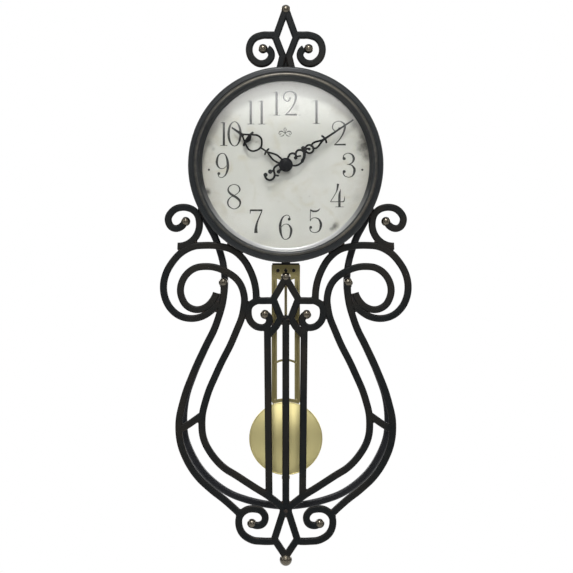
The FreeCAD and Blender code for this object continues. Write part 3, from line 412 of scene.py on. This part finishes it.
ALONG_Z = (1, 1, 0.03)
ALONG_X = (0.03, 1, 1)
IRON = wrought_iron()
BLACK_IRON = black_iron()
BALL = bronze_ball()
WELD = weld_metal()
CASE = case_paint()
BEZEL = bezel_paint()
PAPER = dial_paper()
INK = printed_ink()
GLASS = clear_glass()
HAND = hand_enamel()
CAP = cap_enamel()
ZINC = brushed_metal("zinc_plate", (0.50, 0.51, 0.50), (0.30, 0.31, 0.31), 0.32, ALONG_X)
SHEET_BRASS = brushed_metal("sheet_brass", (0.50, 0.43, 0.20), (0.30, 0.25, 0.11), 0.34, ALONG_Z)
BOB_BRASS = brushed_metal("bob_brass", (0.96, 0.85, 0.42), (0.84, 0.73, 0.33), 0.34, ALONG_X, 0.35, 0.06)
NUT_BRASS = brushed_metal("nut_brass", (0.66, 0.56, 0.30), (0.44, 0.36, 0.17), 0.26, ALONG_Z)
BLACK_PLASTIC = plastic("moulded_black", (0.012, 0.012, 0.013))
WHITE_PLASTIC = plastic("gear_nylon", (0.62, 0.61, 0.56), 0.38, 0.15)
MOTOR_PLASTIC = plastic("motor_shell", (0.05, 0.055, 0.06), 0.4)
SLEEVE = battery_sleeve()
BOARD = circuit_green()
COPPER = copper_winding()

BY_SLOT = {
    "wrought_iron": IRON, "black_iron": BLACK_IRON, "bronze_ball": BALL, "case_metal": CASE,
    "bezel_metal": BEZEL, "zinc_steel": ZINC, "clear_glass": GLASS, "dial_paper": PAPER,
    "black_plastic": BLACK_PLASTIC, "battery_wrap": SLEEVE, "board_green": BOARD,
    "copper_wire": COPPER, "gear_nylon": WHITE_PLASTIC, "brass_sheet": SHEET_BRASS,
    "bob_brass": BOB_BRASS, "hand_black": HAND, "cap_black": CAP,
}
OWN_FINISH = {"rating_nut": NUT_BRASS, "pendulum_rod": NUT_BRASS, "fixing_nut": NUT_BRASS,
              "clock_motor": MOTOR_PLASTIC}

for part in frame["record"]["subparts"]:
    shown = frame["nodes"][part["node"]]
    finish = OWN_FINISH.get(part["node"], BY_SLOT[part["material_slot"]])
    for material_slot in shown.material_slots:
        material_slot.material = finish


# ---------------------------------------------------------------- mesh helpers


def finished(name, bm, material, body, smooth=35):
    """A piece from a finished bmesh, in the row frame, riding on a CAD body."""
    bmesh.ops.remove_doubles(bm, verts=bm.verts, dist=1e-7)
    bmesh.ops.recalc_face_normals(bm, faces=bm.faces)
    mesh = bpy.data.meshes.new(name)
    bm.to_mesh(mesh)
    bm.free()
    for polygon in mesh.polygons:
        polygon.use_smooth = True
    mesh.set_sharp_from_angle(angle=math.radians(smooth))
    mesh.materials.append(material)
    piece = bpy.data.objects.new(name, mesh)
    bpy.context.scene.collection.objects.link(piece)
    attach(piece, body)
    return piece


def fuller(node, body, slot, across, deep, stroked):
    """Stands for a CAD node that is finer than the real thing: its mesh copied, and the surface moved out.

    A stroked node is a flat plate, whose corners move by the whole amount in both directions."""
    bm = bmesh.new()
    bm.from_mesh(frame["nodes"][node].data)
    bmesh.ops.remove_doubles(bm, verts=bm.verts, dist=1e-6)
    bm.normal_update()
    for vert, normal in [(vert, vert.normal.copy()) for vert in bm.verts]:
        if stroked:
            normal /= max(abs(normal.y), math.hypot(normal.x, normal.z))
        vert.co += Vector((normal.x * across, normal.y * deep, normal.z * across)) * MM
    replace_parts(finished(node + "_full", bm, BY_SLOT[slot], body), node)


# The photo's hand strokes and small balls are a little thicker than the CAD's.
fuller("hour_hand", "hour_arbor", "hand_black", 0.5, 0.1, True)
fuller("minute_hand", "minute_arbor", "hand_black", 0.55, 0.1, True)
fuller("middle_balls", "case", "bronze_ball", 0.5, 0.5, False)


def lathe(bm, profile, centre, axis, steps=48):
    """A closed turned solid: profile is (radius, height) corners, in metres, along axis from centre."""
    turn = Vector((0, 0, 1)).rotation_difference(axis).to_matrix().to_4x4()
    whole = Matrix.Translation(centre) @ turn
    rings = []
    for radius, height in profile:
        if radius < 1e-9:
            rings.append([bm.verts.new(whole @ Vector((0, 0, height)))])
            continue
        ring = []
        for number in range(steps):
            angle = 2 * math.pi * number / steps
            spot = Vector((radius * math.cos(angle), radius * math.sin(angle), height))
            ring.append(bm.verts.new(whole @ spot))
        rings.append(ring)
    for first, second in zip(rings, rings[1:] + rings[:1]):
        if len(first) == 1 and len(second) == 1:
            continue
        for number in range(steps):
            following = (number + 1) % steps
            if len(first) == 1:
                bm.faces.new((first[0], second[number], second[following]))
            elif len(second) == 1:
                bm.faces.new((first[number], second[0], first[following]))
            else:
                bm.faces.new((first[number], second[number], second[following], first[following]))


def torus(bm, centre, axis, large, small, steps=64, sides=12):
    """A plain round ring."""
    around = [2 * math.pi * number / sides for number in range(sides)]
    lathe(bm, [(large + small * math.cos(a), small * math.sin(a)) for a in around], centre, axis, steps)


def tube_along(bm, spots, radii, sides=14):
    """A closed round tube through spots, with a radius at each and domed ends."""
    rings = []
    previous = None
    for number, spot in enumerate(spots):
        ahead = (spots[min(number + 1, len(spots) - 1)] - spots[max(number - 1, 0)]).normalized()
        side = previous or ahead.orthogonal()
        side = (side - ahead * side.dot(ahead)).normalized()
        previous = side
        up = ahead.cross(side)
        ring = []
        for step in range(sides):
            angle = 2 * math.pi * step / sides
            ring.append(bm.verts.new(spot + (side * math.cos(angle) + up * math.sin(angle)) * radii[number]))
        rings.append(ring)
    for first, second in zip(rings, rings[1:]):
        for step in range(sides):
            following = (step + 1) % sides
            bm.faces.new((first[step], second[step], second[following], first[following]))
    bm.faces.new(rings[0])
    bm.faces.new(rings[-1])


# ---------------------------------------------------------------- welds and collars on the frame

SIDES = (("left", -1), ("right", 1))


def weld_column(bm, x, z, size, chance, back=0.0, lean=0.0):
    """A rippled bead that fills the corner between two bars, through their depth."""
    count = 27
    ripples = 5
    reach = BAR_HALF - 0.35 * MM
    spots, radii = [], []
    for number in range(count):
        share = number / (count - 1)
        dome = math.sqrt(max(0.02, 1 - (2 * share - 1) ** 6))
        ripple = 0.86 + 0.14 * abs(math.sin(math.pi * ripples * share))
        spots.append(at(x + lean * (share - 0.5) + chance.uniform(-0.12, 0.12),
                        z + chance.uniform(-0.12, 0.12),
                        BAR_PLANE - reach + 2 * reach * share + back * MM))
        radii.append(size * MM * dome * ripple * chance.uniform(0.96, 1.04))
    tube_along(bm, spots, radii)


# Corners where welded bars meet, right of the centreline: x, z and the bead's radius.
WELDS = {
    "finial_welds": [(14.6, 179.4, 1.5), (17.6, 170.8, 1.5), (2.7, 131.7, 1.3)],
    "shoulder_welds": [(114.6, -69, 2.4), (115.6, -64, 3), (116.6, -59.2, 2.2), (121.4, -103.6, 1.9),
                       (144, -114.2, 1.9), (77, -107, 2.6), (59.8, -117.4, 2.6)],
    "curl_welds": [(89.6, -174.9, 1.5), (98, -188, 1.4), (94.2, -196.4, 2.3),
                   (112, -199.4, 1.6)],
    "crest_welds": [(35.6, -178.6, 1.2), (51, -184.8, 1.5), (54.2, -206.4, 1.8), (26.4, -208, 1.1),
                    (5, -214, 1.9), (17.8, -215, 2.4), (29.2, -224, 1.1), (17.6, -190, 1.4)],
    "strut_welds": [(117.8, -347.2, 1.5), (139.2, -349.6, 1.4), (115.4, -333.6, 1.2), (140, -360, 1)],
    "foot_welds": [(27.6, -438.8, 1.4), (4.8, -455.4, 1.6), (61, -465.8, 1.1), (66.4, -474, 1.3),
                   (17.2, -503, 1.2)],
}
dice = random.Random(12)
for name, spots in WELDS.items():
    for side, sign in SIDES:
        bm = bmesh.new()
        for x, z, size in spots:
            weld_column(bm, sign * x, z, size, dice)
        finished(f"{name}_{side}", bm, WELD, "case", 60)

# Weld metal fills the wedge between the lyre bar and the ends of the curl and the big scroll.
WEDGE = [(87.6, -174), (89.4, -174.6), (91.2, -178.2), (94.8, -185.2), (92.6, -188.4), (88.6, -188.4)]
WEDGE_HUB = (sum(x for x, z in WEDGE) / len(WEDGE), sum(z for x, z in WEDGE) / len(WEDGE))
WEDGE_REACH = 8
for side, sign in SIDES:
    bm = bmesh.new()
    layers = []
    for depth, inset in ((1.5, 0.9), (0.9, 0.2), (-0.9, 0.2), (-1.5, 0.9)):
        y = BAR_PLANE - math.copysign(BAR_HALF, depth) + depth * MM
        layer = [(x + inset * (WEDGE_HUB[0] - x) / WEDGE_REACH, z + inset * (WEDGE_HUB[1] - z) / WEDGE_REACH)
                 for x, z in WEDGE]
        layers.append([bm.verts.new(at(sign * x, z, y)) for x, z in layer])
    for first, second in zip(layers, layers[1:]):
        for number in range(len(WEDGE)):
            following = (number + 1) % len(WEDGE)
            bm.faces.new((first[number], second[number], second[following], first[following]))
    bm.faces.new(layers[0])
    bm.faces.new(layers[-1])
    finished(f"curl_wedge_{side}", bm, WELD, "case", 30)

bm = bmesh.new()
weld_column(bm, 0, -473.6, 2.2, dice)
finished("foot_weld_middle", bm, WELD, "case", 60)

# The strings' feet and the crossing of the lyre bars carry a rounded weld on their front.
bm = bmesh.new()
face = BAR_FRONT + 0.3 * MM
lathe(bm, [(0, 1.5 * MM), (1.5 * MM, 1.3 * MM), (2.6 * MM, 0.75 * MM), (3.2 * MM, 0), (0, -1 * MM)],
      at(0, -467.4, face), FRONT, 28)
finished("foot_rivet", bm, WELD, "case", 60)

bm = bmesh.new()
for x, z in ((-2.2, -205.2), (2.3, -208.6)):
    spots = [at(x + step, z + 0.35 * math.sin(step), BAR_FRONT + 0.2 * MM) for step in (-3, -1.6, 0, 1.6, 3)]
    tube_along(bm, spots, [r * MM for r in (0.45, 1.0, 1.15, 1.0, 0.45)], 12)
finished("crest_bead", bm, WELD, "case", 60)

# Collars under the balls that stand on a bar's end.
COLLAR = [(4.2, -1.5), (4.9, -1.0), (5.1, 0), (4.9, 1.0), (4.2, 1.5), (2.0, 1.5), (2.0, -1.5)]
collar_profile = [(radius * MM, height * MM) for radius, height in COLLAR]
for name, x, z in (("crest_collar", 0, -156.2), ("lyre_collar_left", -84.0, -163.4),
                   ("lyre_collar_right", 84.0, -163.4), ("finial_collar", 0, 204.0),
                   ("drop_collar", 0, -526.0)):
    bm = bmesh.new()
    lathe(bm, collar_profile, at(x, z), Vector((0, 0, 1)), 40)
    finished(name, bm, IRON, "case", 40)

# ---------------------------------------------------------------- numerals and print on the dial

NUMERAL_HEIGHT = 32.2 * MM
PRINT = 0.07 * MM


def catmull(points, closed, steps=9):
    """A smooth run through points of any number of values."""
    count = len(points)
    spans = count if closed else count - 1
    result = []
    for span in range(spans):
        if closed:
            knots = [points[(span + shift) % count] for shift in (-1, 0, 1, 2)]
        else:
            knots = [points[min(max(span + shift, 0), count - 1)] for shift in (-1, 0, 1, 2)]
        for step in range(steps):
            t = step / steps
            weights = (-0.5 * t + t ** 2 - 0.5 * t ** 3, 1 - 2.5 * t ** 2 + 1.5 * t ** 3,
                       0.5 * t + 2 * t ** 2 - 1.5 * t ** 3, -0.5 * t ** 2 + 0.5 * t ** 3)
            result.append(tuple(sum(w * k[i] for w, k in zip(weights, knots))
                                for i in range(len(points[0]))))
    if not closed:
        result.append(points[-1])
    return result


def ribbon(bm, points, place, closed=False, steps=9):
    """A flat printed stroke: points are (x, z, width), and place turns x and z into a point."""
    run = catmull(points, closed, steps)
    count = len(run)
    rows = []
    for number, (x, z, width) in enumerate(run):
        if closed:
            before, after = run[number - 1], run[(number + 1) % count]
        else:
            before, after = run[max(number - 1, 0)], run[min(number + 1, count - 1)]
        along = Vector((after[0] - before[0], after[1] - before[1])).normalized()
        across = Vector((-along.y, along.x)) * (width / 2)
        row = []
        for sign in (1, -1):
            spot = place(x + sign * across.x, z + sign * across.y)
            row += [bm.verts.new(spot + FRONT * PRINT), bm.verts.new(spot - FRONT * PRINT / 2)]
        rows.append(row)
    pairs = list(zip(rows, rows[1:] + rows[:1])) if closed else list(zip(rows, rows[1:]))
    for first, second in pairs:
        for a, b in ((0, 2), (2, 3), (3, 1), (1, 0)):
            bm.faces.new((first[a], first[b], second[b], second[a]))
    if not closed:
        for row in (rows[0], rows[-1]):
            bm.faces.new((row[0], row[1], row[3], row[2]))


def dot(bm, x, z, radius, place, steps=20):
    """A round printed spot."""
    turns = [2 * math.pi * n / steps for n in range(steps)]
    rim = [place(x + radius * math.cos(turn), z + radius * math.sin(turn)) for turn in turns]
    front = [bm.verts.new(spot + FRONT * PRINT) for spot in rim]
    back = [bm.verts.new(spot - FRONT * PRINT / 2) for spot in rim]
    bm.faces.new(front)
    bm.faces.new(back)
    for number in range(steps):
        following = (number + 1) % steps
        bm.faces.new((front[number], back[number], back[following], front[following]))


# Each digit on a height of 1: open strokes as (x, z, width), closed strokes, and round dots.
ROUND_SIX = [(0.178, 0.87, 0.04), (0.13, 0.985, 0.03), (0.01, 1.015, 0.03), (-0.14, 0.90, 0.06),
             (-0.225, 0.67, 0.1), (-0.238, 0.50, 0.112), (-0.205, 0.24, 0.09), (-0.12, 0.05, 0.045),
             (0, -0.005, 0.03), (0.155, 0.085, 0.06), (0.225, 0.32, 0.1), (0.205, 0.49, 0.085),
             (0.11, 0.615, 0.045), (0.0, 0.64, 0.03), (-0.11, 0.60, 0.028), (-0.20, 0.49, 0.025)]
SIX_DOT = (0.142, 0.845, 0.062)
DIGITS = {
    "0": ([], [[(0.25 * math.cos(a), 0.5 + 0.51 * math.sin(a), 0.032 + 0.07 * abs(math.cos(a)) ** 1.5)
                for a in (2 * math.pi * n / 16 for n in range(16))]], []),
    "1": ([[(0, 0.99, 0.1), (0, 0.5, 0.095), (0, 0, 0.1)],
           [(-0.14, 0.955, 0.016), (-0.07, 0.972, 0.03), (0.0, 0.98, 0.05)],
           [(-0.15, 0.012, 0.026), (0.15, 0.012, 0.026)]], [], []),
    "2": ([[(0.0, 0.715, 0.05), (-0.035, 0.635, 0.045), (-0.13, 0.595, 0.036), (-0.25, 0.68, 0.046),
            (-0.272, 0.80, 0.05), (-0.2, 0.95, 0.042), (0.0, 1.015, 0.032), (0.19, 0.93, 0.07),
            (0.245, 0.77, 0.098), (0.18, 0.52, 0.07), (0.02, 0.25, 0.045), (-0.18, 0.035, 0.035)],
           [(-0.205, 0.03, 0.055), (0.02, 0.032, 0.066), (0.285, 0.036, 0.078)]],
          [], [(-0.005, 0.73, 0.035)]),
    "3": ([[(-0.235, 0.79, 0.05), (-0.19, 0.935, 0.036), (-0.02, 1.01, 0.03), (0.15, 0.94, 0.07),
            (0.215, 0.78, 0.1), (0.16, 0.625, 0.06), (0.03, 0.55, 0.03), (-0.07, 0.54, 0.026)],
           [(-0.03, 0.54, 0.026), (0.13, 0.50, 0.055), (0.235, 0.36, 0.1), (0.235, 0.22, 0.1),
            (0.16, 0.06, 0.055), (0.0, 0.0, 0.03), (-0.17, 0.06, 0.04), (-0.235, 0.2, 0.055)]],
          [], [(-0.188, 0.78, 0.066), (-0.188, 0.235, 0.066)]),
    "4": ([[(-0.01, 0.985, 0.1), (-0.05, 0.74, 0.062), (-0.105, 0.6, 0.036), (-0.21, 0.42, 0.03),
            (-0.335, 0.225, 0.03)],
           [(-0.335, 0.225, 0.034), (0.0, 0.225, 0.034), (0.19, 0.228, 0.042), (0.245, 0.275, 0.05),
            (0.272, 0.46, 0.012)],
           [(0.1, 0.76, 0.008), (0.062, 0.6, 0.075), (0.047, 0.45, 0.098), (0.047, 0.0, 0.1)],
           [(-0.12, 0.01, 0.026), (0.23, 0.01, 0.026)]], [], []),
    "5": ([[(-0.215, 0.965, 0.055), (-0.1, 0.9, 0.078), (0.055, 0.905, 0.07), (0.14, 0.955, 0.05),
            (0.205, 1.03, 0.012)],
           [(-0.205, 0.96, 0.034), (-0.214, 0.72, 0.03), (-0.217, 0.48, 0.026)],
           [(-0.217, 0.48, 0.022), (-0.16, 0.585, 0.03), (-0.03, 0.625, 0.034), (0.13, 0.575, 0.062),
            (0.222, 0.41, 0.1), (0.225, 0.26, 0.1), (0.15, 0.075, 0.058), (-0.03, 0.0, 0.031),
            (-0.19, 0.065, 0.038), (-0.238, 0.2, 0.05)]],
          [], [(-0.195, 0.222, 0.06)]),
    "6": ([ROUND_SIX], [], [SIX_DOT]),
    "7": ([[(-0.25, 0.955, 0.078), (0.0, 0.955, 0.078), (0.262, 0.955, 0.078)],
           [(-0.243, 0.98, 0.055), (-0.25, 0.9, 0.042), (-0.26, 0.79, 0.014)],
           [(0.25, 0.955, 0.035), (0.16, 0.74, 0.052), (0.055, 0.49, 0.07), (-0.005, 0.25, 0.105),
            (-0.015, 0.0, 0.15)]], [], []),
    "8": ([], [[(-0.25, 0.81, 0.064), (-0.19, 0.68, 0.085), (-0.05, 0.57, 0.1), (0.14, 0.455, 0.1),
                (0.258, 0.30, 0.085), (0.21, 0.11, 0.056), (0, 0.0, 0.032), (-0.215, 0.12, 0.052),
                (-0.262, 0.30, 0.064), (-0.18, 0.46, 0.045), (-0.04, 0.55, 0.03), (0.1, 0.625, 0.03),
                (0.212, 0.73, 0.042), (0.242, 0.84, 0.06), (0.17, 0.97, 0.042), (0, 1.03, 0.03),
                (-0.18, 0.96, 0.042)]], []),
    "9": ([[(-x, 1 - z, width) for x, z, width in ROUND_SIX]], [],
          [(-SIX_DOT[0], 1 - SIX_DOT[1], SIX_DOT[2])]),
}

# Where each hour's numeral is centred, in millimetres from the dial's centre, and how its digits sit.
HOURS = {
    12: (1.0, 83.5, [("1", -0.42), ("2", 0.15)]), 1: (41.5, 72, [("1", 0)]), 2: (72, 43, [("2", 0)]),
    3: (85, 0, [("3", 0)]), 4: (71, -40.5, [("4", 0)]), 5: (40, -75, [("5", 0)]),
    6: (0, -84, [("6", 0)]), 7: (-40, -75.5, [("7", 0)]), 8: (-70, -43, [("8", 0)]),
    9: (-86, 0, [("9", 0)]), 10: (-73.5, 42.5, [("1", -0.32), ("0", 0.13)]),
    11: (-40, 71.5, [("1", -0.23), ("1", 0.23)]),
}

for hour, (x, z, digits) in HOURS.items():
    bm = bmesh.new()
    for digit, shift in digits:
        origin = at(x, z, DIAL_FACE) + Vector((shift * NUMERAL_HEIGHT, 0, -NUMERAL_HEIGHT / 2))

        def on_dial(u, v, origin=origin):
            return origin + Vector((u * NUMERAL_HEIGHT, 0, v * NUMERAL_HEIGHT))

        strokes, loops, dots = DIGITS[digit]
        for stroke in strokes:
            ribbon(bm, stroke, on_dial)
        for loop in loops:
            ribbon(bm, loop, on_dial, closed=True)
        for u, v, radius in dots:
            dot(bm, u, v, radius, on_dial)
    finished(f"numeral_{hour}", bm, INK, "case")

# A plain printed flourish under the twelve: two mirrored scrolls and a lozenge.
bm = bmesh.new()


def on_flourish(u, v):
    return at(-1 + u, 44 + v, DIAL_FACE)


for sign in (-1, 1):
    ribbon(bm, [(sign * 1.6, 0.0, 0.5), (sign * 4.2, 2.0, 1.3), (sign * 7.2, 1.6, 1.1),
                (sign * 8.4, -0.8, 0.8), (sign * 6.9, -2.3, 0.7), (sign * 5.4, -1.2, 0.6),
                (sign * 6.0, -0.2, 0.5)], on_flourish)
    ribbon(bm, [(sign * 0.8, -1.6, 0.4), (sign * 2.6, -3.8, 1.0), (sign * 5.2, -4.6, 0.7),
                (sign * 7.6, -4.1, 0.2)], on_flourish)
    ribbon(bm, [(sign * 0.5, 1.6, 0.4), (sign * 1.5, 4.0, 0.9), (sign * 0.9, 6.2, 0.6),
                (sign * 0.1, 7.2, 0.2)], on_flourish)
ribbon(bm, [(0, 1.9, 0.1), (0, 0, 2.4), (0, -1.9, 0.1)], on_flourish, steps=2)
finished("dial_flourish", bm, INK, "case")

# Two small dome-headed pins hold the dial plate at three and nine o'clock.
bm = bmesh.new()
for x in (-104, 103.5):
    lathe(bm, [(0, 0.95 * MM), (0.7 * MM, 0.85 * MM), (1.25 * MM, 0.45 * MM), (1.45 * MM, 0), (0, -0.3 * MM)],
          at(x, -6, DIAL_FACE), FRONT, 24)
finished("dial_pins", bm, CASE, "case", 60)

# ---------------------------------------------------------------- pendulum details

bob_low, bob_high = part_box("bob_front")
bob_radius = (bob_high.x - bob_low.x) / 2
bob_edge_y = bob_high.y - 1.6 * MM

bm = bmesh.new()
torus(bm, Vector((BOB.x, bob_edge_y, BOB.z)), FRONT, bob_radius - 0.7 * MM, 0.85 * MM, 128, 14)
finished("bob_rolled_edge", bm, BOB_BRASS, "pendulum", 60)

plate_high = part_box("pendulum_frame")[1]
bm = bmesh.new()
for x in (-10.8, 0, 10.8):
    torus(bm, at(x, -142, plate_high.y - 0.9 * MM), FRONT, 2.9 * MM, 0.6 * MM, 32, 10)
finished("plate_eyelets", bm, NUT_BRASS, "pendulum", 60)

# Rivets fix the lattice strips to the plate and to the arches.
bm = bmesh.new()
for x in (-14.6, 14.6):
    for z in (-147.4, -267.6, -319.0):
        lathe(bm, [(0, 0.7 * MM), (0.8 * MM, 0.55 * MM), (1.3 * MM, 0.15 * MM), (1.35 * MM, -0.3 * MM),
                   (0, -0.3 * MM)], at(x, z, plate_high.y - 0.85 * MM), FRONT, 20)
finished("lattice_rivets", bm, NUT_BRASS, "pendulum", 60)

# ---------------------------------------------------------------- camera, light and floor

camera_data = bpy.data.cameras.new("camera")
camera_data.lens = 102.3
camera_data.sensor_width = 36
camera_data.clip_start = 0.05
camera_data.clip_end = 50
camera = bpy.data.objects.new("camera", camera_data)
bpy.context.scene.collection.objects.link(camera)
camera.location = (0.95 * MM, BAR_PLANE - 2.2, -0.262)
camera.rotation_euler = (math.radians(90), 0, 0)
bpy.context.scene.camera = camera


def softbox(name, place, aim, width, height, power, colour=(1, 1, 1)):
    data = bpy.data.lights.new(name, "AREA")
    data.shape = "RECTANGLE"
    data.size, data.size_y = width, height
    data.energy = power
    data.color = colour
    lamp = bpy.data.objects.new(name, data)
    bpy.context.scene.collection.objects.link(lamp)
    lamp.location = place
    lamp.rotation_euler = (Vector(aim) - Vector(place)).to_track_quat("-Z", "Y").to_euler()
    return lamp


TARGET = (0, -0.02, -0.26)
ROOM_TOP, ROOM_MIDDLE, ROOM_LOW = 0.42, 0.19, 0.5
CARD_GLOW = 5.2
softbox("key_above", (-0.1, -1.3, 1.5), TARGET, 0.3, 0.3, 19)
softbox("fill_left", (-2.4, -1.2, 0.3), TARGET, 1.2, 1.2, 4.5)
softbox("fill_right", (2.4, -1.2, 0.3), TARGET, 1.2, 1.2, 4.5)
softbox("low_fill", (0, -1.5, -1.5), (0, -0.02, -0.47), 1.6, 0.9, 7)
softbox("back_left", (-1.6, 1.9, 0.7), TARGET, 1.2, 1.2, 22)
softbox("back_right", (1.6, 1.9, 0.4), TARGET, 1.2, 1.2, 22)

# The room is bright above, dark at eye level and paler again towards the floor; the sweep that
# the camera sees behind the clock is white paper.
world = bpy.data.worlds.new("studio")
bpy.context.scene.world = world
world.use_nodes = True
tree = world.node_tree
tree.nodes.clear()


def world_node(kind, inputs=None, **settings):
    node = tree.nodes.new(kind)
    for key, value in settings.items():
        setattr(node, key, value)
    for key, value in (inputs or {}).items():
        if isinstance(value, bpy.types.NodeSocket):
            tree.links.new(value, node.inputs[key])
        else:
            node.inputs[key].default_value = value
    return node.outputs[0] if node.outputs else node


def world_step(value, low, high, level):
    node = {"Value": value, "From Min": low, "From Max": high, "To Max": level}
    return world_node("ShaderNodeMapRange", node, interpolation_type="SMOOTHSTEP")


direction = tree.nodes.new("ShaderNodeTexCoord").outputs["Generated"]
separate = tree.nodes.new("ShaderNodeSeparateXYZ")
tree.links.new(direction, separate.inputs[0])
height = separate.outputs[2]
ceiling = world_step(height, 0.10, 0.75, ROOM_TOP)
ground = world_step(height, -0.12, -0.55, ROOM_LOW)
light = world_node("ShaderNodeMath", {0: ceiling, 1: ground}, operation="ADD")
light = world_node("ShaderNodeMath", {0: light, 1: ROOM_MIDDLE}, operation="ADD")
room = world_node("ShaderNodeBackground", {"Color": (0.95, 0.97, 1, 1), "Strength": light})
sweep = world_node("ShaderNodeBackground", {"Color": (1, 1, 1, 1), "Strength": 1.0})
seen = world_node("ShaderNodeLightPath")
chosen = world_node("ShaderNodeMixShader", {0: seen, 1: room, 2: sweep})
world_node("ShaderNodeOutputWorld", {"Surface": chosen})

# A card in front of the clock and above it, bright at its top, gives the glass its soft haze.
card_low, card_high = Vector((-0.9, -3.0, 0.30)), Vector((0.9, -3.0, 1.12))
bm = bmesh.new()
corners = [(card_low.x, card_low.z), (card_high.x, card_low.z), (card_high.x, card_high.z),
           (card_low.x, card_high.z)]
bm.faces.new([bm.verts.new((x, card_low.y, z)) for x, z in corners])
card_mesh = bpy.data.meshes.new("haze_card")
bm.to_mesh(card_mesh)
bm.free()
glow = Graph("haze_glow")
lit = glow.add("ShaderNodeEmission", {"Strength": glow.maths(
    "MULTIPLY", glow.between(glow.z, card_low.z + 0.03, card_high.z - 0.32), CARD_GLOW)})
glow.tree.links.new(lit.outputs[0], glow.output.inputs["Surface"])
card_mesh.materials.append(glow.material)
card = bpy.data.objects.new("haze_card", card_mesh)
bpy.context.scene.collection.objects.link(card)
card.visible_camera = False

bm = bmesh.new()
bmesh.ops.create_circle(bm, cap_ends=True, segments=96, radius=2.2,
                        matrix=Matrix.Translation((0, 0, cad_box[0].z - 0.45)))
floor_mesh = bpy.data.meshes.new("floor")
bm.to_mesh(floor_mesh)
bm.free()
floor_look = Graph("floor_paint")
floor_look.set("Base Color", floor_look.mix(floor_look.noise(400, 3), (0.80, 0.80, 0.79), (0.84, 0.84, 0.83)))
floor_look.set("Roughness", floor_look.maths("MULTIPLY_ADD", floor_look.noise(80, 3), 0.1, 0.7))
floor_mesh.materials.append(floor_look.material)
floor = bpy.data.objects.new("floor", floor_mesh)
bpy.context.scene.collection.objects.link(floor)

bpy.context.scene.view_settings.view_transform = "Standard"
